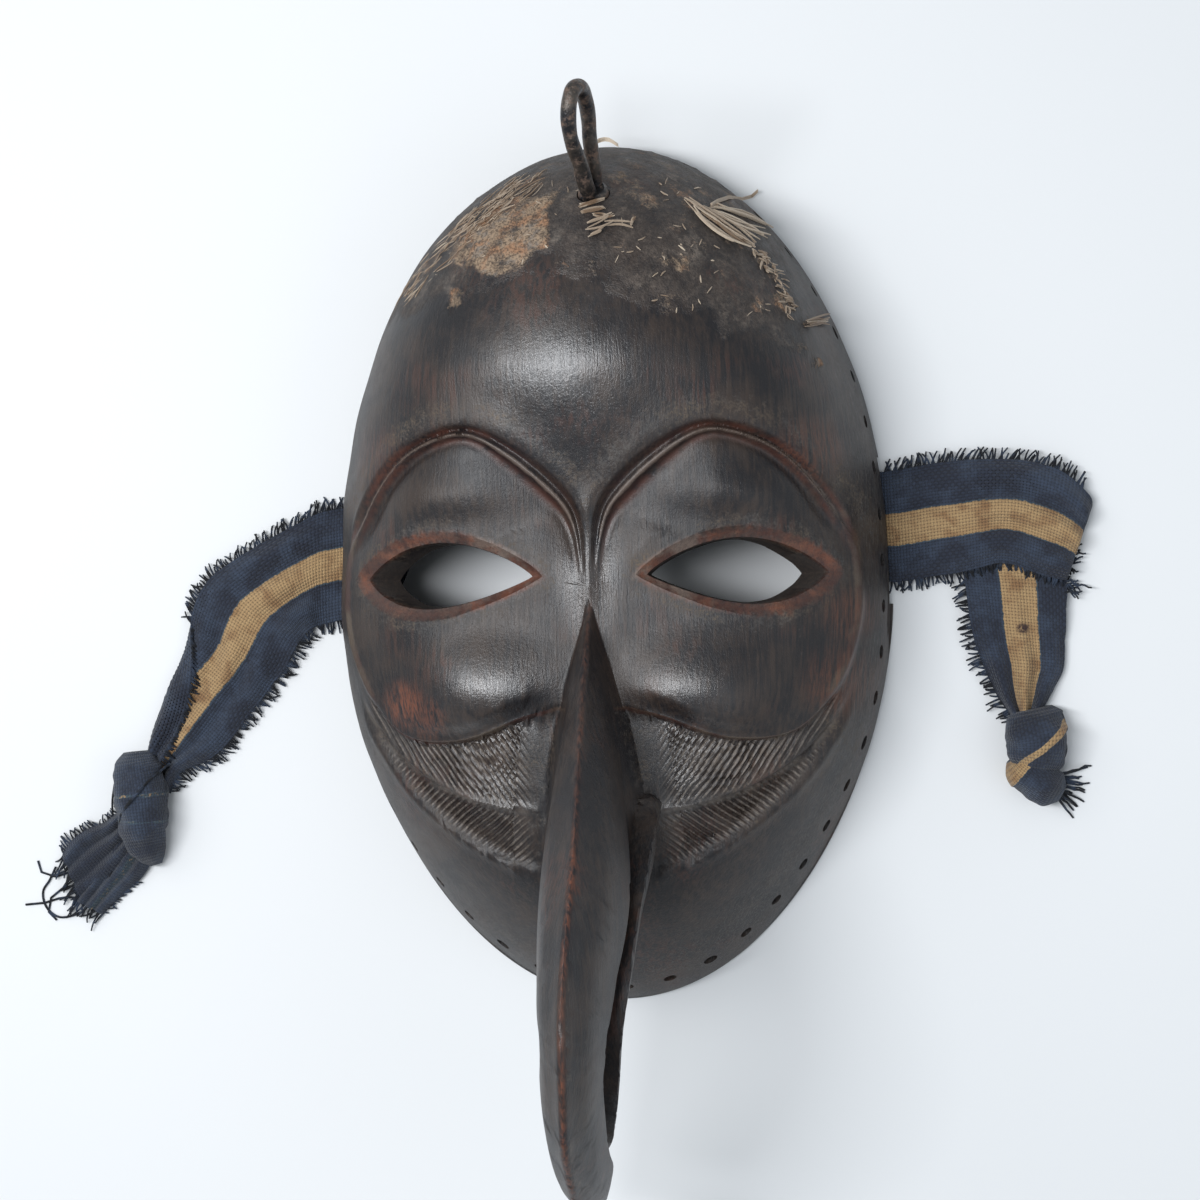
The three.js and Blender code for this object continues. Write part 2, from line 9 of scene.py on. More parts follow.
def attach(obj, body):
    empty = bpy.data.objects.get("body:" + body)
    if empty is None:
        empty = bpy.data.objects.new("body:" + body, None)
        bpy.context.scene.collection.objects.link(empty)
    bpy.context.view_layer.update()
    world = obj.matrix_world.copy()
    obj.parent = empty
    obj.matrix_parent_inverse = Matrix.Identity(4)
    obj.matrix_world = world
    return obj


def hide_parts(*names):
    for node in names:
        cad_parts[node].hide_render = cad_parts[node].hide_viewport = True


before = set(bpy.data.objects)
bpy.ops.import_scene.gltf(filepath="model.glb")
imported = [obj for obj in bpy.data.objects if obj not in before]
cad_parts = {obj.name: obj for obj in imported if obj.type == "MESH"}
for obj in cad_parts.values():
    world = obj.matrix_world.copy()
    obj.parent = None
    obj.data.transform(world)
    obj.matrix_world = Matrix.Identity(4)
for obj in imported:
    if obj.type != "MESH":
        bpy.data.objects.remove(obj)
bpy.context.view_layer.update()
mm = 0.001
faceMiddle = (18.09, 13.426)  # where the middle of the face lies in the model, in mm


def say(text):
    print("mask scene:", text)


# Small helpers for curves, meshes and places
def fadeIn(start, end, value):
    t = np.clip((np.asarray(value, float) - start) / (end - start), 0, 1)
    return t * t * (3 - 2 * t)


def curveOf(table, at):  # a smooth curve through a table of [at, value]
    xs, ys = np.array(table, float).T
    at = np.clip(np.asarray(at, float), xs[0], xs[-1])
    slopes = np.gradient(ys, xs)
    slopes[0], slopes[-1] = (ys[1] - ys[0]) / (xs[1] - xs[0]), (ys[-1] - ys[-2]) / (xs[-1] - xs[-2])
    i = np.clip(np.searchsorted(xs, at) - 1, 0, len(xs) - 2)
    wide = xs[i + 1] - xs[i]
    t = (at - xs[i]) / wide
    rise = ys[i + 1] - ys[i]
    m0, m1 = slopes[i] * wide, slopes[i + 1] * wide
    return ys[i] + m0 * t + (3 * rise - 2 * m0 - m1) * t**2 + (m0 + m1 - 2 * rise) * t**3


def wobble(x, y, z, seed, size):  # smooth made-up unevenness, from a few crossed waves, about -1 to 1
    rng = np.random.default_rng(seed)
    total = 0
    for _ in range(7):
        way = rng.normal(size=3)
        way /= np.linalg.norm(way) * size * rng.uniform(0.6, 1.5)
        total = total + np.sin((x * way[0] + y * way[1] + z * way[2]) * 2 * math.pi
                               + rng.uniform(0, 6.28))
    return total / 3.2


def coordsOf(piece):
    co = np.empty(len(piece.data.vertices) * 3)
    piece.data.vertices.foreach_get("co", co)
    return co.reshape(-1, 3)


def putCoords(piece, co):
    piece.data.vertices.foreach_set("co", np.asarray(co, float).ravel())
    piece.data.update()


def inModel(points):  # from mm about the middle of the face to the model's metres
    return (np.asarray(points, float) + [faceMiddle[0], faceMiddle[1], 0]) * mm


def onlyActive(piece):
    bpy.ops.object.select_all(action="DESELECT")
    piece.select_set(True)
    bpy.context.view_layer.objects.active = piece


def paint(piece, name, values):  # a number at each corner of the mesh, for the materials
    layer = piece.data.attributes.get(name) or piece.data.attributes.new(name, "FLOAT", "POINT")
    layer.data.foreach_set("value", np.asarray(values, np.float32))


def newShape(kind, name=None, **settings):  # one primitive, selected alone
    bpy.ops.object.select_all(action="DESELECT")
    getattr(bpy.ops.mesh, f"primitive_{kind}_add")(**settings)
    piece = bpy.context.object
    if name:
        piece.name = piece.data.name = name
    return piece


def settled(piece):  # a turned or scaled cutter with its place written into its mesh
    bpy.ops.object.transform_apply(location=True, rotation=True, scale=True)
    return piece


def chooseNone(piece, kind):  # ready to select faces or corners one by one
    onlyActive(piece)
    bpy.ops.object.mode_set(mode="EDIT")
    bpy.ops.mesh.select_mode(type=kind)
    bpy.ops.mesh.select_all(action="DESELECT")
    bpy.ops.object.mode_set(mode="OBJECT")


def dress(piece, material, sharpAngle):
    piece.data.materials.clear()
    piece.data.materials.append(material)
    onlyActive(piece)
    bpy.ops.object.shade_smooth_by_angle(angle=math.radians(sharpAngle))


def joined(pieces):
    bpy.ops.object.select_all(action="DESELECT")
    for piece in pieces:
        piece.select_set(True)
    bpy.context.view_layer.objects.active = pieces[0]
    bpy.ops.object.join()
    return bpy.context.object


def pulledSphere(name, places):  # a uv sphere whose rings are pulled to the given places [ring, side]
    rings, sides = len(places) - 1, len(places[0])
    piece = newShape("uv_sphere", name, segments=sides, ring_count=rings, radius=1)
    co = coordsOf(piece)
    ring = np.rint(np.arccos(np.clip(co[:, 2], -1, 1)) / math.pi * rings).astype(int)
    side = np.rint(np.arctan2(co[:, 1], co[:, 0]) / (2 * math.pi) * sides).astype(int) % sides
    pole = (ring == 0) | (ring == rings)
    side[pole] = 0
    putCoords(piece, np.asarray(places)[ring, side])
    return piece


def facingOut(piece):
    onlyActive(piece)
    bpy.ops.object.mode_set(mode="EDIT")
    bpy.ops.mesh.select_all(action="SELECT")
    bpy.ops.mesh.normals_make_consistent(inside=False)
    bpy.ops.object.mode_set(mode="OBJECT")
    return piece


def cutOrJoin(piece, other, operation, crossesItself=False):
    onlyActive(piece)
    step = piece.modifiers.new(operation.lower(), "BOOLEAN")
    step.operation = operation
    step.solver = "EXACT"
    step.use_self = crossesItself
    step.object = other
    bpy.ops.object.modifier_apply(modifier=step.name)
    bpy.data.objects.remove(other)


# Camera, table and light, in mm about the middle of the face
view = {
    "eye": (100, 1.5, 899),
    "target": (-4.5, 1.5, 0),
    "roll": -1.0,
    "lens": 93.6,
    "key": {"at": (-520, 260, 760), "size": (520, 700), "power": 1.8, "colour": (1, 0.985, 0.96)},
    "above": {"at": (-290, 40, 960), "size": (130, 620), "power": 7.4, "colour": (0.95, 0.97, 1)},
    "fill": {"at": (620, -220, 620), "size": (600, 600), "power": 1.0, "colour": (0.86, 0.93, 1)},
    "aim": (0, 0, 40),
    "world": (0.82, 0.87, 0.92),
    "worldStrength": 0.50,
    "table": (0.72, 0.735, 0.745),
    "tableSize": 6,
    "tableRoughness": 0.55,
}


def makeStage():
    scene = bpy.context.scene
    scene.view_settings.view_transform = "Standard"
    eye, target = Vector(inModel(view["eye"])), Vector(inModel(view["target"]))
    lens = bpy.data.cameras.new("camera")
    lens.lens = view["lens"]
    lens.sensor_width = 36
    lens.sensor_fit = "HORIZONTAL"
    lens.clip_start = 0.01
    camera = bpy.data.objects.new("camera", lens)
    scene.collection.objects.link(camera)
    forward = (target - eye).normalized()
    right = forward.cross(Vector((0, 1, 0))).normalized()
    up = right.cross(forward)
    roll = math.radians(view["roll"])
    rightTurned = right * math.cos(roll) + up * math.sin(roll)
    upTurned = up * math.cos(roll) - right * math.sin(roll)
    turn = Matrix([rightTurned, upTurned, -forward]).transposed()
    camera.location = eye
    camera.rotation_euler = turn.to_euler()
    scene.camera = camera
    for name in ("key", "above", "fill"):
        values = view[name]
        lamp = bpy.data.lights.new(name, "AREA")
        lamp.shape = "RECTANGLE"
        lamp.size, lamp.size_y = [length * mm for length in values["size"]]
        lamp.energy = values["power"]
        lamp.color = values["colour"]
        holder = bpy.data.objects.new(name, lamp)
        scene.collection.objects.link(holder)
        holder.location = inModel(values["at"])
        aim = Vector(inModel(view["aim"])) - holder.location
        holder.rotation_euler = aim.to_track_quat("-Z", "Y").to_euler()
    world = bpy.data.worlds.new("room")
    world.use_nodes = True
    world.node_tree.nodes["Background"].inputs["Color"].default_value = (*view["world"], 1)
    world.node_tree.nodes["Background"].inputs["Strength"].default_value = view["worldStrength"]
    scene.world = world
    table = newShape("plane", "table", size=view["tableSize"])
    paper = bpy.data.materials.new("table paper")
    paper.use_nodes = True
    shader = paper.node_tree.nodes["Principled BSDF"]
    shader.inputs["Base Color"].default_value = (*view["table"], 1)
    shader.inputs["Roughness"].default_value = view["tableRoughness"]
    table.data.materials.append(paper)
    say("camera, lights and table are set")


# The carved mask, in mm: its outline, heights and the places of the carved lines
shell = {
    "rimHalfWidth": 80.2,
    "foreheadReach": 131.5,
    "foreheadRoundness": 2.1,
    "chinReach": 114,
    "chinRoundness": 1.7,
    "height": 64,
    "foreheadRise": 14,
    "sideFullness": 0.6,
    "foreheadFullness": 0.48,
    "chinFullness": 0.8,
    "wall": 10,
    "centreY": 5,
    "spokes": 370,
    "rings": 84,
    "hollowSteps": (0.985, 0.955, 0.91, 0.85, 0.77, 0.67, 0.55, 0.42, 0.28, 0.14, 0.0),
    "uneven": [[0.28, 21, 46], [0.1, 22, 15]],  # height, pattern, size
    "gouge": [0.35, 23, 22],
    "sharpAngle": 38,
}
carving = {
    "panelEdge": [[-90, 31], [-71, 34.5], [-59, 41.5], [-47, 56], [-36, 67], [-27, 70], [2, 72.2],
                  [21, 70], [35, 66], [48, 59.5], [58, 50.5], [70, 36.5], [85, 24.3], [90, 22]],
    "ribLine": [[-90, 61], [-69, 64.7], [-51, 70], [-38, 73.3], [-24, 75]],
    "borderLine": [[-90, 82], [-70, 79.4], [-57, 78.4], [-45, 77.8], [-35, 77], [-24, 77]],
    "browLine": [[76, 8], [72.5, 17], [68.5, 25], [65.5, 30], [60, 37], [54.5, 42.6], [47.5, 46.5],
                 [40, 48.8], [33.5, 50], [26.5, 48], [19.8, 44.3], [13, 39.8], [7, 34], [2.6, 29],
                 [1.2, 24], [0.8, 14], [0.5, 2]],
    "browProfile": [[-9, 0], [-5, 0.3], [-1.1, 0.6], [0, 0.4], [0.8, -0.6], [1.7, -1.6], [2.3, -1.75],
                    [2.9, -1.0], [3.4, -0.5], [3.9, -0.55], [4.7, -1.6], [5.6, -2.5], [6.8, -2.6],
                    [9, -1.9], [13, -1.1], [24, 0]],
    "cheek": {"x": 30.5, "y": -23.5, "halfWidth": 30, "halfHeight": 21, "rise": 4.2},
    "foreheadKeel": {"x": 0, "y": 68, "halfWidth": 32, "halfHeight": 54, "rise": 2.3},
    "lid": {"x": 42, "y": 30, "halfWidth": 26, "halfHeight": 9, "rise": 1.4},
    "fieldDepth": 2.4,
    "ribRise": 0.9,
    "strokePitch": 1.62,
    "strokeDepth": 0.9,
    "upperStrokeAngle": 55,
    "lowerStrokeAngle": 38,
}
eyeSlit = {
    "x": 40.4,
    "y": 8.2,
    "halfLength": 24.8,
    "up": 9.6,
    "down": 8.5,
    "bevel": 3,
    "bevelDepth": 1.8,
    "sides": 120,
    "corner": 0.85,
    "skewUp": 0.05,
    "skewDown": 0.22,
}


def spread(x, y, inset=0):
    across = (x / (shell["rimHalfWidth"] - inset)) ** 2
    upper = (np.maximum(y, 0) / (shell["foreheadReach"] - inset)) ** shell["foreheadRoundness"]
    lower = (np.maximum(-y, 0) / (shell["chinReach"] - inset)) ** shell["chinRoundness"]
    return across + upper + lower


def shellHeight(x, y, inset=0):
    s = np.minimum(spread(x, y, inset), 1)
    top = shell["height"] + shell["foreheadRise"] * fadeIn(15, 75, y) - inset
    upper = (shell["foreheadFullness"] - shell["sideFullness"]) * fadeIn(40, 110, y)
    lower = (shell["chinFullness"] - shell["sideFullness"]) * fadeIn(-30, -100, y)
    return top * (1 - s * s) ** (shell["sideFullness"] + upper + lower)


def shellNormal(x, y):
    step = 0.25
    pull = np.minimum(1, 0.985 / np.sqrt(spread(x, y) + 1e-6))
    u, v = x * pull, y * pull
    dx = (shellHeight(u + step, v) - shellHeight(u - step, v)) / (2 * step)
    dy = (shellHeight(u, v + step) - shellHeight(u, v - step)) / (2 * step)
    normal = np.stack([-dx, -dy, np.ones_like(dx)], -1)
    return normal / np.linalg.norm(normal, axis=-1, keepdims=True)


def rimReach(angle, inset=0):
    near, far = np.zeros_like(angle), np.full_like(angle, 200.0)
    for _ in range(40):
        middle = (near + far) / 2
        inside = spread(middle * np.cos(angle), shell["centreY"] + middle * np.sin(angle), inset) < 1
        near, far = np.where(inside, middle, near), np.where(inside, far, middle)
    return near


def polar(x, y):
    side, rise = np.abs(x), y - shell["centreY"]
    return np.degrees(np.arctan2(rise, side)), np.hypot(side, rise)


def edgeSlant(angle):
    reach = curveOf(carving["panelEdge"], angle)
    high, low = np.minimum(angle + 2, 90), np.maximum(angle - 2, -90)
    change = curveOf(carving["panelEdge"], high) - curveOf(carving["panelEdge"], low)
    turn = change / np.radians(high - low)
    return np.maximum(reach / np.hypot(reach, turn), 0.5)


def bump(shape, x, y):
    far = np.hypot((np.abs(x) - shape["x"]) / shape["halfWidth"], (y - shape["y"]) / shape["halfHeight"])
    return shape["rise"] * (1 - fadeIn(0, 1, far))


# distance to a line of points, how far along it the nearest place is, and its side
def nearestOn(line, x, y):
    line = np.array(line, float)
    best, place, left = np.full(np.shape(x), 1e9), np.zeros(np.shape(x)), np.zeros(np.shape(x), bool)
    run = 0.0
    for a, b in zip(line[:-1], line[1:]):
        way = b - a
        length = np.hypot(*way)
        t = np.clip(((x - a[0]) * way[0] + (y - a[1]) * way[1]) / length**2, 0, 1)
        far = np.hypot(x - a[0] - t * way[0], y - a[1] - t * way[1])
        closer = far < best
        best, place = np.where(closer, far, best), np.where(closer, run + t * length, place)
        left = np.where(closer, way[0] * (y - a[1]) > way[1] * (x - a[0]), left)
        run += length
    return best, place, run, left


def runAlong(points):  # how far along a flat line each of its points is
    return np.concatenate([[0], np.cumsum(np.hypot(*np.diff(points, axis=0).T))])


def runInSpace(points):
    return np.concatenate([[0], np.cumsum(np.linalg.norm(np.diff(points, axis=0), axis=1))])


def columnsAt(table, run, at):  # smooth values of each column of a table at places along its run
    return [curveOf(np.stack([run, table[:, i]], 1), at) for i in range(table.shape[1])]


def smoothLine(points, count=160, softened=0):  # the same line, rounded through its points
    points = np.array(points, float)
    run = runAlong(points)
    line = np.stack(columnsAt(points, run, np.linspace(0, run[-1], count)), 1)
    for _ in range(softened):
        line[1:-1] = (line[:-2] + line[1:-1] * 2 + line[2:]) / 4
    return line


browCurve = smoothLine(carving["browLine"], softened=60)


def strokeWave(phase):  # thin ridge with a wide rounded groove beside it, 0 at the bottom and 1 on top
    return np.abs(np.sin(math.pi * phase)) ** 2.4


def carve(x, y):  # height of the carving, with marks for the materials
    angle, reach = polar(x, y)
    side = np.abs(x)
    edge = curveOf(carving["panelEdge"], angle)
    inside = (edge - reach) * edgeSlant(angle)
    far, place, run, left = nearestOn(browCurve, side, y)
    towardsNose = fadeIn(60, 88, place)
    widening = 0.72 + 0.42 * towardsNose - 0.7 * fadeIn(run - 36, run - 6, place)
    signed = np.where(left, far / widening, -far)
    alongBrow = fadeIn(4, 24, place) * fadeIn(run - 4, run - 26, place)
    lift = alongBrow * curveOf(carving["browProfile"], np.clip(signed, -9, 24))
    lift = lift + bump(carving["cheek"], x, y) * fadeIn(0, 5, inside) + bump(carving["lid"], x, y)
    lift = lift + bump(carving["foreheadKeel"], x, y)
    outline = fadeIn(26, 10, angle) * fadeIn(-30, -22, angle)  # the panel's outer edge, beside the eye
    lift = lift + outline * 0.7 * np.exp(-((inside - 0.6) / 1.3) ** 2)
    lift = lift - outline * 1.1 * fadeIn(0.4, -2.5, inside) * fadeIn(-12, -5, inside)
    bridge = fadeIn(34, 26, y) * fadeIn(-6, 4, y)
    lift = lift + bridge * 1.2 * np.exp(-(side / 2.2) ** 2)
    # the sunk field under the cheek, with a rib along it and two rows of strokes
    field = fadeIn(-22, -34, angle) * (inside < 0)
    rib, border = curveOf(carving["ribLine"], angle), curveOf(carving["borderLine"], angle)
    out = fadeIn(border - 1.8, border + 0.2, reach)
    crest = np.exp(-((reach - rib) / 0.75) ** 2)
    floor = field * (1 - out) * fadeIn(0, 1.7, -inside)
    upper, lower = np.radians(carving["upperStrokeAngle"]), np.radians(carving["lowerStrokeAngle"])
    curl = 0.0026 * np.maximum(side - 34, 0) ** 2
    wander = 0.16 * wobble(x, y, 0, 4, 14)
    phaseUpper = ((side + curl) * math.sin(upper) - y * math.cos(upper)) / carving["strokePitch"] + wander
    phaseLower = (side * math.sin(lower) + y * math.cos(lower)) / carving["strokePitch"] + wander
    fieldFull = fadeIn(-23, -27, angle) * (inside < 0) * fadeIn(16, 23, side)
    inUpper = fieldFull * fadeIn(0.6, 2.2, -inside) * fadeIn(rib - 0.8, rib - 2.2, reach)
    inLower = fieldFull * fadeIn(rib + 0.8, rib + 2.0, reach) * fadeIn(border - 1.2, border - 2.4, reach)
    phase = np.where(reach < rib, phaseUpper, phaseLower)
    strokes = inUpper + inLower
    deep = carving["strokeDepth"] * (0.85 + 0.3 * wobble(x, y, 0, 8, 9))
    lift = lift + floor * (0.25 - carving["fieldDepth"] + carving["ribRise"] * crest)
    edging = field * 0.5 * np.exp(-((reach - border - 0.4) / 1.2) ** 2)
    lift = lift - deep * strokes * (1 - strokeWave(phase)) + edging
    marks = {
        "ridge": alongBrow * np.exp(-((signed - 3.6) / 0.75) ** 2),
        "worn": np.maximum(outline * np.exp(-((inside - 0.6) / 1.6) ** 2),
                           field * 0.9 * np.exp(-((inside + 0.4) / 1.0) ** 2)),
        "groove": alongBrow * np.clip(np.exp(-((signed - 1.4) / 1.0) ** 2) * (1 - 0.75 * towardsNose)
                                      + 0.8 * np.exp(-((signed - 5.6) / 1.2) ** 2), 0, 1),
        "dusty": np.clip(floor * 0.75 + alongBrow * np.exp(-((signed + 4) / 3.5) ** 2)
                         + 0.7 * field * np.exp(-((reach - border - 1.5) / 2.5) ** 2), 0, 1),
        "strokes": strokes,
        "strokePhase": phase,
        "rib": fieldFull * (1 - out) * crest,
    }
    return lift, marks


def facePoint(x, y, lift=0.0):
    x, y = np.asarray(x, float), np.asarray(y, float)
    base = np.stack([x, y, shellHeight(x, y)], -1)
    return base + shellNormal(x, y) * (carve(x, y)[0] + lift)[..., None]


def evenReaches(angle, count):  # places along each ray at even steps over the shell's surface
    rim = rimReach(angle)
    share = 1 - (1 - np.linspace(0, 1, 600)) ** 1.6
    reach = share[:, None] * rim[None]
    x, y = reach * np.cos(angle), shell["centreY"] + reach * np.sin(angle)
    z = shellHeight(x, y)
    steps = np.hypot(np.diff(reach, axis=0), np.diff(z, axis=0))
    run = np.concatenate([np.zeros((1, len(angle))), np.cumsum(steps, 0)])
    goal = np.linspace(0, 1, count + 1)
    return np.stack([np.interp(goal * run[-1, k], run[:, k], reach[:, k]) for k in range(len(angle))], 1)


def spokeDirections():
    turn = np.arange(shell["spokes"]) * 2 * math.pi / shell["spokes"] - math.pi / 2
    return np.arctan2(1.35 * np.sin(turn), np.cos(turn))


def makeShellMesh():
    angle = spokeDirections()
    reach = evenReaches(angle, shell["rings"])

    def flat(reach, code):
        x, y = reach * np.cos(angle), shell["centreY"] + reach * np.sin(angle)
        return np.stack([x, y, np.full_like(angle, code)], -1)

    rings = [flat(reach[k], 1.0) for k in range(shell["rings"])]  # the face, from the middle outwards
    rim, inner = rimReach(angle), rimReach(angle, shell["wall"])
    rings += [flat(rim, 0.6), flat(rim - 0.9, 0.0), flat(inner + 0.7, 0.0), flat(inner, -0.6)]
    for share in shell["hollowSteps"]:  # the hollow, back to the middle
        rings.append(flat(inner * share, -1.0))
    piece = pulledSphere("carved-mask", rings)
    refineCarving(piece)
    return piece


def refineCarving(piece):  # more faces where the carving is fine, while the sheet is still flat
    for name, cuts in (("brow", 2), ("strokes", 2)):
        chooseNone(piece, "FACE")
        co = coordsOf(piece)
        angle, reach = polar(co[:, 0], co[:, 1])
        inside = (curveOf(carving["panelEdge"], angle) - reach) * edgeSlant(angle)
        far, place, run, left = nearestOn(browCurve, np.abs(co[:, 0]), co[:, 1])
        if name == "brow":
            wanted = (far < np.where(left, 7.6, 2.2)) & (co[:, 2] > 0.8) & (place < run - 6)
            wanted |= (np.abs(inside) < 2.2) & (co[:, 2] > 0.8) & (angle < 20)
        else:
            border = curveOf(carving["borderLine"], angle)
            wanted = (inside < 0.6) & (reach < border + 0.4) & (angle < -22.5)
            wanted = wanted & (np.abs(co[:, 0]) > 15) & (co[:, 2] > 0.8)
        for face in piece.data.polygons:
            face.select = bool(wanted[list(face.vertices)].all())
        bpy.ops.object.mode_set(mode="EDIT")
        bpy.ops.mesh.subdivide(number_cuts=cuts)
        bpy.ops.object.mode_set(mode="OBJECT")
        say(f"{name}: {len(piece.data.polygons)} faces")


def raiseShell(piece):
    co = coordsOf(piece)
    x, y, code = co.T
    face, hollow = code > 0.8, code < -0.8
    out = np.stack([x, y, np.zeros_like(x)], -1)
    out[(code > 0.3) & ~face, 2] = 0.9
    out[(code < -0.3) & ~hollow, 2] = 0.8
    uneven = sum(high * wobble(x, y, 0, pattern, wide) for high, pattern, wide in shell["uneven"])
    out[face] = facePoint(x[face], y[face], uneven[face] + mudHeight(x[face], y[face]))
    out[face, 2] = np.maximum(out[face, 2], 1.4)
    high, pattern, wide = shell["gouge"]  # the gouge's marks inside run up and down
    tool = high * wobble(x * 3.1, y * 0.7, 0, pattern, wide)
    out[hollow, 2] = np.maximum(shellHeight(x[hollow], y[hollow], shell["wall"]) + tool[hollow], 1.2)
    putCoords(piece, out)


beak = {
    "crest": [[8, 58], [-26, 86], [-60, 108], [-88, 122.5], [-110, 127], [-131, 120.5], [-149, 103],
              [-161.5, 79], [-166, 54]],
    "halfWidths": [[0, 1.6], [0.15, 6.6], [0.25, 9.8], [0.36, 12.1], [0.49, 10.5], [0.59, 9.0],
                   [0.68, 8.5], [0.78, 8.1], [0.88, 7.5], [0.95, 7.0], [1, 5]],
    "drift": [[-165, -3.0], [-152, -3.0], [-138, -2.7], [-126, -2.0], [-112, -1.6], [-100, -1.5],
              [-88, -1.0], [-63, 0.2], [-40, 0.2], [0, 0]],
    "depths": [[0, 7], [0.15, 20], [0.3, 25], [0.64, 25], [0.76, 21.5], [0.86, 17], [0.94, 14], [1, 9]],
    "rootHalfWidths": [[0, 1.8], [0.33, 7.9], [0.66, 12.2], [1, 14.6]],
    "rootY": (-2, -65),
    "lowerTop": [[-50, 62], [-70, 77], [-90, 87.5], [-108, 91.5], [-126, 84], [-141, 68], [-151, 53]],
    "lowerHalfWidths": [[0, 15.5], [0.2, 13.6], [0.27, 12.6], [0.335, 12.2], [0.41, 11.8], [0.48, 11.2],
                        [0.54, 10.5], [0.7, 9.1], [0.82, 7.5], [0.93, 5.6], [1, 3]],
    "lowerDrift": [[-151, -3.2], [-143, -2.3], [-126, -1.1], [-110, -0.2], [-97, 0.6],
                   [-88, 1.3], [-75, 2.2], [-63, 2.8], [-50, 2.8]],
    "lowerThicknesses": [[0, 22], [0.2, 19], [0.45, 14], [0.8, 10], [1, 4]],
    "stations": 120,
    "softenedRounds": (14, 4),  # on the left and right of its foot
}


def pathThrough(points, count):  # places and directions at even steps along a smooth path of [y, z]
    fine = smoothLine(points, count * 8)
    run = runAlong(fine)
    at = np.linspace(0, run[-1], count)
    place = np.stack([np.interp(at, run, fine[:, i]) for i in range(2)], 1)
    way = np.gradient(place, axis=0)
    return place, way / np.linalg.norm(way, axis=1, keepdims=True)


def beakRing(place, way, outline, sideways="drift"):  # an outline of [x, drop] set square to the path
    drift = float(curveOf(beak[sideways], place[0]))
    return [[x + drift, place[0] - way[1] * drop, place[1] + way[0] * drop] for x, drop in outline]


def mirrored(half):  # a closed outline of [across, drop] from its right half
    return np.concatenate([half, np.array(half[-2:0:-1]) * [-1, 1]])


def closedRings(rings):  # rings with a point at each end, as a pulled sphere wants them
    rings = np.asarray(rings, float)
    first, last = np.mean(rings[0], 0), np.mean(rings[-1], 0)
    sides = len(rings[0])
    return np.array([[first] * sides, *rings, [last] * sides])


def makeUpperBeak():
    count = beak["stations"]
    place, way = pathThrough(beak["crest"], count)
    rings = []
    for i in range(count):
        share = i / (count - 1)
        wide, deep = curveOf(beak["halfWidths"], share), curveOf(beak["depths"], share)
        narrow = min(0.75, wide * 0.4)
        top = [[0.0, 0.0], [narrow, 0.35], [narrow + 0.5, 0.9]]
        swell = lambda t: 0.62 * (t / 0.34) if t < 0.34 else 0.62 + 0.38 * ((t - 0.34) / 0.66) ** 0.62
        flank = [[wide * swell(t), deep * t] for t in (0.14, 0.24, 0.34, 0.46, 0.6, 0.74, 0.86, 0.95)]
        under = [[wide * 0.99, deep * 0.985], [wide * 0.93, deep], [wide * 0.7, deep - 0.9],
                 [wide * 0.35, deep - 1.6], [0.0, deep - 1.8]]
        half = top + flank + under
        half[3:11] = [[max(x, narrow + 0.6), drop] for x, drop in half[3:11]]
        rings.append(beakRing(place[i], way[i], mirrored(half)))
    return facingOut(pulledSphere("upper-beak", closedRings(rings)))


def crestHeight(y):
    place, _ = pathThrough(beak["crest"], 400)
    upTo = np.argmin(place[:, 0])
    return np.interp(-y, -place[: upTo + 1, 0], place[: upTo + 1, 1])


def makeBeakRoot():
    start, end = beak["rootY"]
    rings = []
    count = 50
    for i in range(count):
        share = i / (count - 1)
        y = start + (end - start) * share
        wide = curveOf(beak["rootHalfWidths"], share)
        foot, top = shellHeight(wide, y) - 2.0, crestHeight(y) - 1.5
        half = [[0.0, top]]
        for t in (0.04, 0.12, 0.2, 0.3, 0.4, 0.5, 0.6, 0.7, 0.8, 0.9, 1.0):
            half.append([0.8 + (wide - 0.8) * t ** 0.95, top + (foot - top) * t])
        half += [[wide, foot - 4.5], [wide * 0.95, foot - 9], [wide * 0.5, foot - 9], [0.0, foot - 9]]
        drift = float(curveOf(beak["drift"], y))
        rings.append([[x + drift, y, z] for x, z in mirrored(half)])
    return facingOut(pulledSphere("beak-root", closedRings(rings)))


def makeLowerBeak():
    count = beak["stations"] // 2
    place, way = pathThrough(beak["lowerTop"], count)
    rings = []
    for i in range(count):
        share = i / (count - 1)
        wide, thick = curveOf(beak["lowerHalfWidths"], share), curveOf(beak["lowerThicknesses"], share)
        half = [[0.0, 1.2], [wide * 0.4, 1.0], [wide * 0.8, 0.5], [wide * 0.96, 0.0], [wide, 0.5],
                [wide * 0.99, thick * 0.2], [wide * 0.96, thick * 0.4], [wide * 0.88, thick * 0.6],
                [wide * 0.74, thick * 0.78], [wide * 0.52, thick * 0.92], [wide * 0.26, thick * 0.98],
                [0.0, thick]]
        rings.append(beakRing(place[i], way[i], mirrored(half), "lowerDrift"))
    return facingOut(pulledSphere("lower-beak", closedRings(rings)))


def lensRing(side, grow, lift):
    values = eyeSlit
    turn = np.arange(values["sides"]) * 2 * math.pi / values["sides"]
    across = np.cos(turn)
    upper = np.sin(turn) > 0
    skewed = across - np.where(upper, values["skewUp"], values["skewDown"]) * (1 - across**2)
    tall = np.where(upper, values["up"] + grow, -values["down"] - grow)
    lens = np.maximum(1 - skewed**2, 0) ** values["corner"]
    x = side * (values["x"] + (values["halfLength"] + grow) * across)
    return x, values["y"] + tall * lens, lift


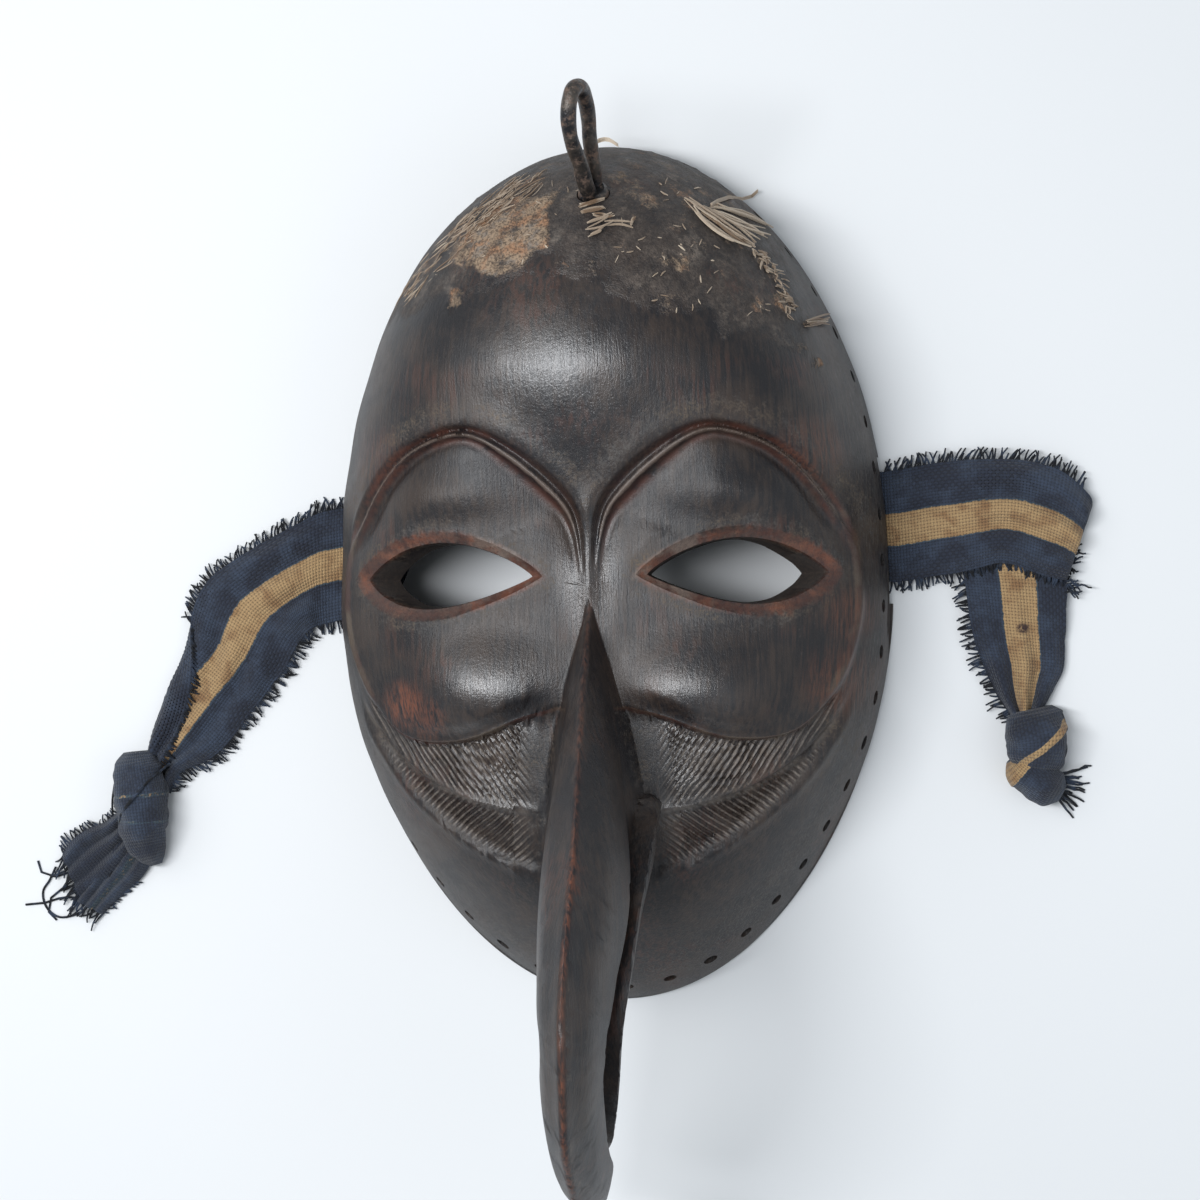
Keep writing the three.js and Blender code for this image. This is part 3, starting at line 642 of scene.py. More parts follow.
def makeEyeCutter(side):
    values = eyeSlit
    steep = values["bevelDepth"] / values["bevel"]
    out = values["bevel"] * 2
    rings = [facePoint(*lensRing(side, grow, lift)) for grow, lift in (
        (out, (out - values["bevel"]) * steep), (values["bevel"], 0.0),
        (values["bevel"] * 0.5, -values["bevelDepth"] * 0.62),
        (0.0, -values["bevelDepth"]), (-0.3, -values["bevelDepth"] - 2), (-0.8, -shell["wall"] - 7))]
    top = facePoint(side * values["x"], values["y"], 25)
    rings = np.array([np.tile(top, (values["sides"], 1)), *rings,
                      np.tile(rings[-1].mean(0), (values["sides"], 1))])
    return facingOut(pulledSphere("eye-cutter", rings))


rimHoles = {"count": 48, "radius": 2.1, "height": 13, "sides": 14}


def makeHoleCutters():
    angle = np.linspace(0, 2 * math.pi, 721)
    reach = rimReach(angle)
    x, y = reach * np.cos(angle), shell["centreY"] + reach * np.sin(angle)
    run = runAlong(np.stack([x, y], 1))
    cutters = []
    rng = np.random.default_rng(11)
    for k in range(rimHoles["count"]):
        at = np.interp((k + 0.5) * run[-1] / rimHoles["count"], run, angle)
        near, far = 0.0, float(rimReach(np.array([at]))[0])
        for _ in range(40):
            middle = (near + far) / 2
            height = shellHeight(middle * math.cos(at), shell["centreY"] + middle * math.sin(at))
            if height > rimHoles["height"]:
                near = middle
            else:
                far = middle
        px, py = near * math.cos(at), shell["centreY"] + near * math.sin(at)
        normal = shellNormal(np.array([px]), np.array([py]))[0]
        normal[2] = min(normal[2], 0.35)
        normal = Vector(normal).normalized()
        length = shell["wall"] * 2.4
        middle = Vector((px, py, float(shellHeight(px, py)))) + normal * (4 - length / 2)
        radius = rimHoles["radius"] * rng.uniform(0.9, 1.05)
        cutters.append(newShape("cylinder", vertices=rimHoles["sides"], radius=radius, depth=length,
                                location=middle, rotation=normal.to_track_quat("Z", "Y").to_euler()))
    return settled(joined(cutters))


loop = {
    "foot": (2, 112, 55),
    "lean": 51,
    "tilt": 4,
    "turn": 20,
    # one leg, as [up, across]
    "half": [[-1, 1.3], [5, 2.9], [10, 3.6], [16, 4.2], [22, 5.5], [28, 6.2], [33, 5.3], [36.2, 3.2]],
    "top": 37.8,
    "rod": 2.1,
    "shank": 4.2,
    "shankDepth": 6,
    "gap": 0.35,
    "sharpAngle": 50,
}
lean, turned = math.radians(loop["lean"]), math.radians(loop["turn"])
loopTilt = Matrix.Rotation(math.radians(loop["tilt"]), 3, "Z")
loopAlong = loopTilt @ Vector((0, math.cos(lean), math.sin(lean)))
loopAcross = loopTilt @ Vector((-math.sin(turned), -math.sin(lean) * math.cos(turned),
                                math.cos(lean) * math.cos(turned)))


def makeSocketCutter():
    low, high = -loop["shankDepth"] - loop["gap"], 8
    middle = Vector(loop["foot"]) + loopAlong * (low + high) / 2
    return settled(newShape("cylinder", vertices=24, radius=loop["shank"] + loop["gap"], depth=high - low,
                            location=middle, rotation=loopAlong.to_track_quat("Z", "Y").to_euler()))


tieNotch = {"left": 13, "right": 20, "halfWidth": 21, "height": 4.6}


def makeNotchCutter(side, y):
    middle = (side * (shell["rimHalfWidth"] - shell["wall"] * 0.6), y, 0)
    scale = (shell["wall"] * 3, 2 * tieNotch["halfWidth"], 2 * tieNotch["height"])
    return settled(newShape("cube", size=1, location=middle, scale=scale))


def softenJoint(piece):  # the beak's foot runs softly into the face, more so on its left
    co = coordsOf(piece)
    x, y, z = co.T
    face = shellHeight(x, y) + carve(x, y)[0]
    start, end = beak["rootY"]
    wide = curveOf(beak["rootHalfWidths"], np.clip((y - start) / (end - start), 0, 1))
    nearFoot = (np.abs(z - face) < 9) & (np.abs(np.abs(x) - wide) < 9)
    nearFoot = nearFoot & (y > -88) & (y < 6) & (z > 30)
    left, right = beak["softenedRounds"]
    for rounds, mask in ((left, nearFoot & (x < 0)), (right, nearFoot & (x > 0))):
        chooseNone(piece, "VERT")
        piece.data.vertices.foreach_set("select", mask)
        bpy.ops.object.mode_set(mode="EDIT")
        bpy.ops.mesh.vertices_smooth(factor=0.5, repeat=rounds)
        bpy.ops.object.mode_set(mode="OBJECT")


def makeMask(wood):
    piece = makeShellMesh()
    raiseShell(piece)
    facingOut(piece)
    say(f"shell has {len(piece.data.polygons)} faces")
    head = makeUpperBeak()
    cutOrJoin(head, makeBeakRoot(), "UNION")
    cutOrJoin(head, makeLowerBeak(), "UNION")
    cutOrJoin(piece, head, "UNION")
    softenJoint(piece)
    say("beak is joined")
    for side in (-1, 1):
        cutOrJoin(piece, makeEyeCutter(side), "DIFFERENCE")
    cutOrJoin(piece, makeSocketCutter(), "DIFFERENCE")
    cutOrJoin(piece, makeNotchCutter(-1, tieNotch["left"]), "DIFFERENCE")
    cutOrJoin(piece, makeNotchCutter(1, tieNotch["right"]), "DIFFERENCE")
    cutOrJoin(piece, makeHoleCutters(), "DIFFERENCE")
    say("eyes, notches and rim holes are cut")
    piece.name = piece.data.name = "carved-mask"
    paintMask(piece)
    putCoords(piece, inModel(coordsOf(piece)))
    dress(piece, wood, shell["sharpAngle"])
    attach(piece, "root")
    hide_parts("mask")
    say(f"mask is done, {sum(len(face.vertices) - 2 for face in piece.data.polygons)} triangles")
    return piece


# Places on the face that are rubbed, handled or covered, in mm about the middle of the face
rubbed = {
    # x, y, radius, strength
    "spots": [[-53, -26.5, 9, 0.85], [-46, -30, 8, 0.5], [66, -22, 13, 0.42], [69, -4, 10, 0.45],
              [60, 42, 12, 0.34], [-60, 42, 12, 0.25]],
    "crest": 0.85,  # half width of the rubbed line along the beak
    "bevel": 1.5,
    # x, y, half width, half height, strength
    "polished": [[-6, 66, 24, 36, 1.0], [-27, -27, 21, 17, 1.0], [26, -28, 16, 15, 0.9],
                 [0, 10, 10, 20, 0.8], [-25, -52, 15, 14, 0.8], [21, -50, 9, 14, 0.7]],
}
# the lower edge of the crust over the top of the forehead, as [x, y]
crustEdge = [[-80, 60], [-54, 76], [-35, 82], [-12, 87], [4, 86], [17.5, 77], [36, 71], [56, 65],
             [80, 60]]


def nearPoints(co, points):  # distance from each corner of the mesh to the nearest of the points
    best = np.full(len(co), 1e9)
    for point in points:
        best = np.minimum(best, ((co - point) ** 2).sum(1))
    return np.sqrt(best)


def paintMask(piece):
    co = coordsOf(piece)
    x, y, z = co.T
    marks = carve(x, y)[1]
    above = z - shellHeight(x, y)
    skin = np.abs(above) < 6
    place, _ = pathThrough(beak["crest"], 160)
    crest = np.stack([curveOf(beak["drift"], place[:, 0]), place[:, 0], place[:, 1]], 1)
    crestFar = nearPoints(co, crest)
    lensFar = np.full(len(x), 1e9)
    for side in (-1, 1):
        ring = facePoint(*lensRing(side, eyeSlit["bevel"] * 0.5, -0.9))
        lensFar = np.minimum(lensFar, nearPoints(co, ring[::2]))
    for name in ("ridge", "worn", "groove", "strokes", "strokePhase", "rib"):
        paint(piece, name, np.where(skin, marks[name], 0))
    paint(piece, "bevel", fadeIn(2.3, rubbed["bevel"], lensFar))
    paint(piece, "dusty", np.where(skin, np.maximum(marks["dusty"], 0.85 * fadeIn(8, 3, lensFar)), 0))
    overhang = (np.abs(x) < 22) & (above > 3)
    paint(piece, "hollow", np.where((above < -5) & (spread(x, y) < 0.999) & ~overhang, 1.0, 0.0))
    paint(piece, "mud", np.where(skin, mudCover(x, y), 0))
    paint(piece, "side", fadeIn(40, 20, z) * skin)
    rightOf = fadeIn(0.3, 1.2, x - curveOf(beak["drift"], y))
    paint(piece, "scuff", rightOf * fadeIn(8, 3, crestFar) * fadeIn(-60, -95, y))
    red = 0.9 * np.exp(-(crestFar / rubbed["crest"]) ** 2) * (0.35 + 0.65 * fadeIn(-40, -75, y))
    for px, py, radius, strength in rubbed["spots"]:
        red = np.maximum(red, skin * strength * fadeIn(radius, radius * 0.3, np.hypot(x - px, y - py)))
    paint(piece, "red", red)
    # the beak and the chin below it get less of the film and come out darker; on the chin this is painted
    # shade under the beak
    chin = 0.8 * skin * fadeIn(-58, -72, y - 0.25 * np.abs(x))
    paint(piece, "beak", np.maximum(fadeIn(2, 6, above) * fadeIn(8, -4, y), chin))
    polish = np.zeros(len(x))
    for px, py, wide, high, strength in rubbed["polished"]:
        polish = np.maximum(polish,
                            strength * fadeIn(1.15, 0.35, np.hypot((x - px) / wide, (y - py) / high)))
    paint(piece, "polish", polish * skin)
    past = y - curveOf(crustEdge, x) + 3.5 * wobble(x, y, 0, 35, 17)
    thin = 1 - 0.6 * fadeIn(44, 66, x) * fadeIn(0.75, 0.95, spread(x, y))
    paint(piece, "crust", skin * fadeIn(-9, 9, past) * thin)


# Dirt on the forehead, as outlines and round spots in mm about the middle of the face
dirt = {
    "patches": [
        [0.66, [(-6.5, 114.7), (-9.4, 106.9), (-8.3, 101.3), (-8.6, 96), (-12.4, 94.8), (-16.7, 89.8),
                (-23.2, 88), (-27.3, 89.3), (-30.3, 92.2), (-33.9, 91.9), (-39.7, 95.5), (-36.1, 101.4),
                (-31, 106.4), (-25.9, 110.9), (-20, 113.9), (-12.2, 112.9)]],
        [0.60, [(-30.7, 87.9), (-33.6, 80.6), (-38.6, 79.8), (-37.1, 87.6)]],
        [0.52, [(-7.8, 91.3), (-5.8, 89.3), (-2.1, 92.4), (4, 94.2), (4.8, 89), (8.6, 86.3), (6.2, 84.5),
                (2.4, 87.8)]],
        [0.45, [(17, 84), (31, 86), (33, 78), (22, 74)]],
        [0.52, [(-12, 128), (-24, 119), (-36, 108), (-47, 97), (-56, 90), (-52, 86), (-40, 97),
                (-24, 112), (-10, 118)]],
    ],
    "spots": [[0.58, 17, 109.5, 4.0], [0.54, 8, 117.5, 3.5], [0.64, 26.7, 91.1, 3.0],
              [0.6, 30.7, 97.1, 2.4], [0.58, 22.7, 92.6, 2.0], [0.6, 46, 80, 2.8],
              [0.62, 52.5, 82.5, 3.4], [0.56, 58, 69, 2.6], [0.56, 61.5, 65.5, 2.6], [0.6, -5.5, 92, 2.0],
              [0.58, 47.5, 93.5, 2.4], [0.58, 50, 90, 2.2], [0.58, 54, 80, 2.2], [0.56, 59, 77, 2.4],
              [0.5, 40, 99, 4.0]],
    "height": 0.5,
}


def insideOf(outline, x, y):  # how far inside a closed outline a place is, below 0 outside
    closed = np.array([*outline, outline[0]], float)
    far = nearestOn(closed, x, y)[0]
    crossings = np.zeros(np.shape(x), bool)
    for (x0, y0), (x1, y1) in zip(closed[:-1], closed[1:]):
        spans = (y0 > y) != (y1 > y)
        crossings ^= spans & (x < x0 + (y - y0) * (x1 - x0) / (y1 - y0 if y1 != y0 else 1e-9))
    return np.where(crossings, far, -far)


def mudCover(x, y):
    cover = np.zeros(np.shape(x))
    for strength, outline in dirt["patches"]:
        cover = np.maximum(cover, strength * fadeIn(-2.2, 1.6, insideOf(outline, x, y)))
    for strength, px, py, radius in dirt["spots"]:
        cover = np.maximum(cover,
                           strength * fadeIn(radius * 1.35, radius * 0.5, np.hypot(x - px, y - py)))
    slope = y + 0.35 * np.abs(x + 4) - 0.1 * x
    crust = 0.40 * fadeIn(80, 100, slope) * fadeIn(-4, 12, x) + 0.06 * fadeIn(98, 112, y)
    crust = crust + 0.34 * fadeIn(96, 108, slope) * fadeIn(6, -6, x)
    return np.maximum(cover, crust)


def mudHeight(x, y):
    cover = mudCover(x, y)
    lumps = 0.65 + 0.5 * wobble(x, y, 0, 31, 3.2) + 0.35 * wobble(x, y, 0, 32, 1.5)
    thick = fadeIn(0.42, 0.66, cover + 0.08 * wobble(x, y, 0, 33, 2.2))
    return dirt["height"] * thick * np.clip(lumps, 0.15, 1.5)


# Shader building: one node tree with short ways to add to it, then the effects that several materials share
shared = {}


class ShadingTree:
    def __init__(self, tree):
        self.tree = tree

    def link(self, value, socket):  # a value is another node's output or a plain number, place or name
        if isinstance(value, bpy.types.NodeSocket):
            self.tree.links.new(value, socket)
        else:
            socket.default_value = value

    def add(self, kind, inputs=None, **settings):
        node = self.tree.nodes.new("ShaderNode" + kind)
        for name, value in settings.items():
            setattr(node, name, value)
        for socket, value in (inputs or {}).items():
            self.link(value, node.inputs[socket])
        return node

    def calc(self, operation, first, second=0.0, clamp=False):
        return self.add("Math", {0: first, 1: second}, operation=operation, use_clamp=clamp).outputs[0]

    def times(self, first, second):
        return self.calc("MULTIPLY", first, second)

    def plus(self, first, second, clamp=False):
        return self.calc("ADD", first, second, clamp)

    def minus(self, first, second):
        return self.calc("SUBTRACT", first, second)

    def over(self, first, second, clamp=False):
        return self.calc("DIVIDE", first, second, clamp)

    def larger(self, first, second):
        return self.calc("MAXIMUM", first, second)

    def stepUp(self, value, low, high, to=1.0):  # smooth rise of a value from 0 at low to full at high
        inputs = {"Value": value, "From Min": low, "From Max": high, "To Min": 0.0, "To Max": to}
        return self.add("MapRange", inputs, interpolation_type="SMOOTHSTEP", clamp=True).outputs["Result"]

    def rawNoise(self, vector, scale, detail, roughness, distortion=0.0):
        inputs = {"Vector": vector, "Scale": scale, "Detail": detail, "Roughness": roughness,
                  "Distortion": distortion}
        return self.add("TexNoise", inputs).outputs["Fac"]

    def noise(self, vector, size, detail=3.0, roughness=0.55, distortion=0.0):
        return self.rawNoise(vector, 1.0 / size, detail, roughness, distortion)

    def stretched(self, vector, factors):
        return self.add("VectorMath", {0: vector, 1: factors}, operation="MULTIPLY").outputs[0]

    def blend(self, share, first, second):
        node = self.add("Mix", {"Factor": share}, data_type="RGBA")
        for index, value in ((6, first), (7, second)):
            self.link((*value, 1) if isinstance(value, tuple) else value, node.inputs[index])
        return node.outputs[2]

    def painted(self, name):
        return self.add("Attribute", attribute_name=name).outputs["Fac"]

    def effect(self, name, inputs):  # one of the shared effects
        node = self.tree.nodes.new("ShaderNodeGroup")
        node.node_tree = shared[name]
        for socket, value in inputs.items():
            self.link(value, node.inputs[socket])
        return node.outputs

    def film(self, place, amount, patch, softness):
        inputs = {"Vector": place, "Amount": amount, "Patch": patch, "Softness": softness}
        return self.effect("film", inputs)["Mask"]


def newGroup(name, inputs, outputs):
    group = bpy.data.node_groups.new(name, "ShaderNodeTree")
    for title, value in inputs.items():
        kind = "NodeSocketVector" if value is None else "NodeSocketFloat"
        socket = group.interface.new_socket(name=title, in_out="INPUT", socket_type=kind)
        if value is not None:
            socket.default_value = value
    for title in outputs:
        group.interface.new_socket(name=title, in_out="OUTPUT", socket_type="NodeSocketFloat")
    given, result = group.nodes.new("NodeGroupInput").outputs, group.nodes.new("NodeGroupOutput").inputs
    return group, ShadingTree(group), given, result


def makeFilmGroup():  # dust or mud that sits in patches with ragged, speckled edges
    inputs = {"Vector": None, "Amount": 0.5, "Patch": 6.0, "Softness": 0.1}
    group, tree, given, result = newGroup("ragged film", inputs, ("Mask",))
    scale = tree.over(1.0, given["Patch"])
    wide = tree.rawNoise(given["Vector"], scale, 5.0, 0.62)
    fine = tree.noise(given["Vector"], 0.55, 2.0, 0.6)
    level = tree.plus(tree.times(wide, 0.72), tree.times(fine, 0.28))
    above = tree.minus(level, tree.minus(1.0, given["Amount"]))
    mask = tree.over(above, given["Softness"], clamp=True)
    tree.link(mask, result["Mask"])
    return group


def makeGrainGroup():  # long streaks that run up and down the face, as the block's fibres do
    inputs = {"Vector": None, "Width": 1.0, "Stretch": 14.0}
    group, tree, given, result = newGroup("fibre streaks", inputs, ("Streaks", "Lines"))
    thin = tree.over(1.0, given["Width"])
    long = tree.over(thin, given["Stretch"])
    scale = tree.add("CombineXYZ", {0: thin, 1: long, 2: thin}).outputs[0]
    placed = tree.stretched(given["Vector"], scale)
    streaks = tree.rawNoise(placed, 1.0, 4.0, 0.6, 0.4)
    narrow = tree.rawNoise(placed, 2.6, 2.0, 0.5)
    tree.link(streaks, result["Streaks"])
    tree.link(tree.stepUp(narrow, 0.56, 0.66), result["Lines"])
    return group


def makeWearGroup():  # rubbed edges: a painted edge, broken up by noise
    inputs = {"Vector": None, "Edge": 0.0, "Size": 2.0}
    group, tree, given, result = newGroup("rubbed edge", inputs, ("Mask",))
    scale = tree.over(1.0, given["Size"])
    ragged = tree.rawNoise(given["Vector"], scale, 4.0, 0.65)
    total = tree.plus(tree.times(ragged, 1.1), tree.times(given["Edge"], 0.9))
    mask = tree.times(tree.stepUp(total, 0.85, 1.35), tree.stepUp(given["Edge"], 0.02, 0.3))
    tree.link(mask, result["Mask"])
    return group


def makeWeaveGroup():  # plain weave from two runs of yarn, with the gaps between them
    inputs = {"Along": 0.0, "Across": 0.0, "Pitch": 0.95, "Open": 0.0}
    group, tree, given, result = newGroup("plain weave", inputs, ("Height", "Warp", "Gap"))
    turns = {}
    for name in ("Along", "Across"):
        place = tree.over(given[name], given["Pitch"])
        whole = tree.calc("FLOOR", place)
        round = tree.calc("ABSOLUTE", tree.calc("SINE", tree.times(place, math.pi)))
        turns[name] = (place, whole, round)
    along, across = turns["Along"], turns["Across"]

    def yarn(run, beside, shift):
        phase = tree.plus(run[0], tree.plus(beside[1], shift))
        wave = tree.calc("COSINE", tree.times(phase, math.pi))
        over = tree.times(tree.plus(wave, 1.0), 0.5)
        return tree.times(beside[2], over)

    warp, weft = yarn(along, across, 0.5), yarn(across, along, 1.5)
    tree.link(tree.larger(warp, weft), result["Height"])
    tree.link(tree.calc("GREATER_THAN", warp, weft), result["Warp"])
    widest = tree.larger(along[2], across[2])
    width = tree.times(given["Open"], 0.85)
    tree.link(tree.calc("LESS_THAN", widest, width), result["Gap"])
    return group


def newMaterial(name):
    material = bpy.data.materials.new(name)
    material.use_nodes = True
    tree = ShadingTree(material.node_tree)
    spot = tree.add("TexCoord").outputs["Object"]
    settings = {"Vector": spot, "Location": (-faceMiddle[0], -faceMiddle[1], 0),
                "Scale": (1000, 1000, 1000)}
    place = tree.add("Mapping", settings).outputs[0]  # mm about the middle of the face
    return material, tree, material.node_tree.nodes["Principled BSDF"], place


def connect(tree, shader, colour, roughness, height, distance):
    tree.link(colour, shader.inputs["Base Color"])
    tree.link(roughness, shader.inputs["Roughness"])
    bump = tree.add("Bump", {"Height": height, "Distance": distance * mm, "Strength": 1.0})
    tree.link(bump.outputs[0], shader.inputs["Normal"])
    return bump.outputs[0]


woodLook = {
    "polishRoughness": 0.30,
    "dark": (0.0065, 0.0055, 0.0070),
    "brown": (0.034, 0.0225, 0.0170),
    "reddish": (0.072, 0.0235, 0.0145),
    "dust": (0.135, 0.100, 0.068),
    "greyDustAndSheen": (0.092, 0.086, 0.080),
    "worn": (0.190, 0.058, 0.026),
    "paleWearAndHighlight": (0.17, 0.125, 0.10),
    "strokePaleAndHighlight": (0.185, 0.155, 0.130),
    "mud": (0.38, 0.275, 0.185),
    "mudOrange": (0.40, 0.20, 0.10),
    "mudGrey": (0.27, 0.225, 0.185),
    "crust": (0.128, 0.102, 0.084),
    "crustDark": (0.036, 0.029, 0.025),
    "hollow": (0.050, 0.034, 0.024),
}


def makeWood():
    material, tree, shader, place = newMaterial("dark carved wood")
    look = woodLook
    times, plus, blend, stepUp, noise = tree.times, tree.plus, tree.blend, tree.stepUp, tree.noise
    names = ("ridge", "worn", "groove", "dusty", "hollow", "mud", "side", "scuff", "red", "bevel", "rib",
             "beak", "polish", "crust", "strokes", "strokePhase")
    marks = {name: tree.painted(name) for name in names}
    grain = tree.effect("grain", {"Vector": place, "Width": 1.1, "Stretch": 16.0})
    fineGrain = tree.effect("grain", {"Vector": place, "Width": 0.45, "Stretch": 9.0})
    blotch = noise(place, 19.0, 4.0, 0.6, 0.3)
    patchy = noise(place, 6.5, 4.0, 0.6)
    speckle = noise(place, 0.75, 3.0, 0.75)
    tone = plus(times(blotch, 0.7), times(grain["Streaks"], 0.55))
    colour = blend(stepUp(tone, 0.50, 0.80), look["dark"], look["brown"])
    warm = stepUp(noise(place, 27.0, 3.0, 0.5), 0.54, 0.68)
    warm = times(warm, stepUp(grain["Streaks"], 0.42, 0.62))
    colour = blend(times(warm, 0.42), colour, look["reddish"])
    colour = blend(times(marks["groove"], stepUp(patchy, 0.3, 0.6, 0.85)), colour, look["reddish"])
    # a thin grey-brown film, thickest in the low places and beside the carved lines, with a fine speckle
    amount = 0.350
    # less film on the beak and the chin makes them darker; on the chin under the beak this darkening is
    # painted shade
    for name, share in (("dusty", 0.20), ("side", 0.08), ("beak", -0.075), ("polish", -0.06)):
        amount = plus(amount, times(marks[name], share))
    film = tree.film(place, plus(amount, 0.01), 9.0, 0.20)
    grit = tree.film(place, plus(amount, 0.05), 1.9, 0.09)
    fuzz = stepUp(speckle, 0.44, 0.60)
    filmShare = times(plus(times(film, 0.62), times(grit, 0.36)), plus(0.14, times(fuzz, 0.80)))
    dustColour = blend(stepUp(noise(place, 12.0, 4.0, 0.6), 0.42, 0.58), look["greyDustAndSheen"], look["dust"])
    colour = blend(filmShare, colour, dustColour)
    # the top is covered with a thin rough crust, mottled dark and grey-brown
    crustFilm = tree.film(place, times(marks["crust"], 0.64), 7.0, 0.30)
    crumbs = plus(times(noise(place, 1.3, 4.0, 0.75), 0.6), times(noise(place, 5.0, 4.0, 0.65), 0.4))
    crustColour = blend(stepUp(crumbs, 0.40, 0.64), look["crustDark"], look["crust"])
    tan = stepUp(noise(place, 11.0, 5.0, 0.66), 0.56, 0.66, 0.55)
    crustColour = blend(times(tan, stepUp(crumbs, 0.36, 0.52)), crustColour, look["mudGrey"])
    colour = blend(times(crustFilm, 0.88), colour, crustColour)
    # carved strokes: pale thin ridges, partly rubbed and partly a painted highlight, and brown between
    # them, partly the wood's own colour and partly painted shade in the grooves
    wave = tree.calc("ABSOLUTE", tree.calc("SINE", times(marks["strokePhase"], math.pi)))
    strokeMask = marks["strokes"]
    between = times(strokeMask, stepUp(wave, 0.75, 0.25, 0.55))
    colour = blend(between, colour, look["brown"])
    ragged = plus(wave, times(tree.minus(patchy, 0.5), 0.45))
    ridgeWearAndHighlight = times(strokeMask, stepUp(ragged, 0.80, 0.97))
    colour = blend(times(ridgeWearAndHighlight, plus(0.38, times(fuzz, 0.46))), colour, look["strokePaleAndHighlight"])
    # the rib's crest is painted pale too, partly rubbed and partly a painted highlight
    colour = blend(times(marks["rib"], stepUp(patchy, 0.34, 0.6, 0.45)), colour, look["strokePaleAndHighlight"])
    # the low outer sides get long pale grey streaks, partly rubbed wear and partly a painted reflection of
    # the bright surroundings
    sideWearAndSheen = times(marks["side"], stepUp(fineGrain["Streaks"], 0.46, 0.62))
    colour = blend(times(sideWearAndSheen, plus(0.35, times(fuzz, 0.3))), colour, look["greyDustAndSheen"])
    # rubbed ridges and bevels: pale along the brow's thin ridge, reddish on the bevels and the panel's
    # edge; towards the nose the bevels get a painted highlight
    rub = tree.effect("wear", {"Vector": place, "Edge": marks["ridge"], "Size": 3.0})["Mask"]
    colour = blend(times(rub, 0.52), colour, look["paleWearAndHighlight"])
    rub = tree.effect("wear", {"Vector": place, "Edge": marks["worn"], "Size": 3.4})["Mask"]
    rubColour = blend(stepUp(blotch, 0.42, 0.6), look["reddish"], look["dust"])
    colour = blend(times(rub, 0.45), colour, rubColour)
    bevelColour = blend(stepUp(noise(place, 9.0), 0.42, 0.66), look["reddish"], look["worn"])
    fromMiddle = tree.calc("ABSOLUTE", tree.add("SeparateXYZ", {0: place}).outputs[0])
    # painted highlight: the eye bevels turn pale towards the nose, where the light catches them
    noseSideHighlight = plus(0.12, times(stepUp(fromMiddle, 44.0, 24.0), 0.8))
    bevelColour = blend(times(stepUp(patchy, 0.40, 0.62), noseSideHighlight), bevelColour, look["paleWearAndHighlight"])
    bevelColour = blend(times(fineGrain["Lines"], 0.75), bevelColour, look["dark"])
    colour = blend(times(marks["bevel"], plus(0.42, times(grain["Streaks"], 0.5))), colour, bevelColour)
    broken = times(stepUp(grain["Streaks"], 0.36, 0.58), stepUp(fineGrain["Streaks"], 0.30, 0.55))
    colour = blend(times(times(marks["red"], broken), 0.80), colour, look["worn"])
    scuffs = tree.film(place, times(marks["scuff"], 0.50), 4.0, 0.16)
    colour = blend(times(scuffs, 0.5), colour, look["dust"])
    bare = blend(grain["Streaks"], look["dark"], look["hollow"])
    colour = blend(times(marks["hollow"], 0.8), colour, bare)
    # dried mud
    crust = tree.film(place, marks["mud"], 5.0, 0.16)
    mudColour = blend(stepUp(noise(place, 7.0, 3.0), 0.45, 0.62, 0.8), look["mud"], look["mudOrange"])
    mudColour = blend(stepUp(noise(place, 4.0, 4.0, 0.7), 0.5, 0.64), mudColour, look["mudGrey"])
    mudColour = blend(stepUp(speckle, 0.58, 0.36, 0.75), mudColour, look["brown"])
    colour = blend(times(crust, plus(0.55, times(marks["mud"], 0.4))), colour, mudColour)
    # gloss
    rough = plus(plus(0.36, times(patchy, 0.16)),
                 plus(times(filmShare, 0.45), times(marks["side"], 0.08)))
    rough = plus(rough, times(marks["polish"], -0.15))
    matte = tree.larger(tree.larger(crust, marks["hollow"]), times(crustFilm, 0.8))
    rough = tree.plus(rough, times(matte, 0.5), clamp=True)
    # relief finer than the mesh
    cells = {"Vector": tree.stretched(place, (0.95, 0.42, 0.95)), "Scale": 1.0}
    crackle = tree.add("TexVoronoi", cells, feature="DISTANCE_TO_EDGE").outputs["Distance"]
    height = plus(times(speckle, 0.55), times(fineGrain["Streaks"], 0.60))
    height = tree.minus(height, times(stepUp(crackle, 0.07, 0.0), 0.07))
    height = plus(height, plus(times(grain["Streaks"], 0.5), times(strokeMask, times(wave, 1.3))))
    height = plus(height, times(tree.larger(crust, times(crustFilm, 0.7)), plus(1.6, times(crumbs, 2.6))))
    relief = connect(tree, shader, colour, rough, height, 0.16)
    handled = times(marks["polish"], plus(0.45, times(stepUp(patchy, 0.36, 0.60), 0.45)))
    tree.link(handled, shader.inputs["Coat Weight"])
    tree.link(relief, shader.inputs["Coat Normal"])
    tree.link(look["polishRoughness"], shader.inputs["Coat Roughness"])
    return material


ironLook = {
    "dark": (0.030, 0.030, 0.033),
    "worn": (0.095, 0.082, 0.072),
    "rust": (0.17, 0.105, 0.072),
    "dust": (0.34, 0.30, 0.26),
    "roughness": 0.36,
}


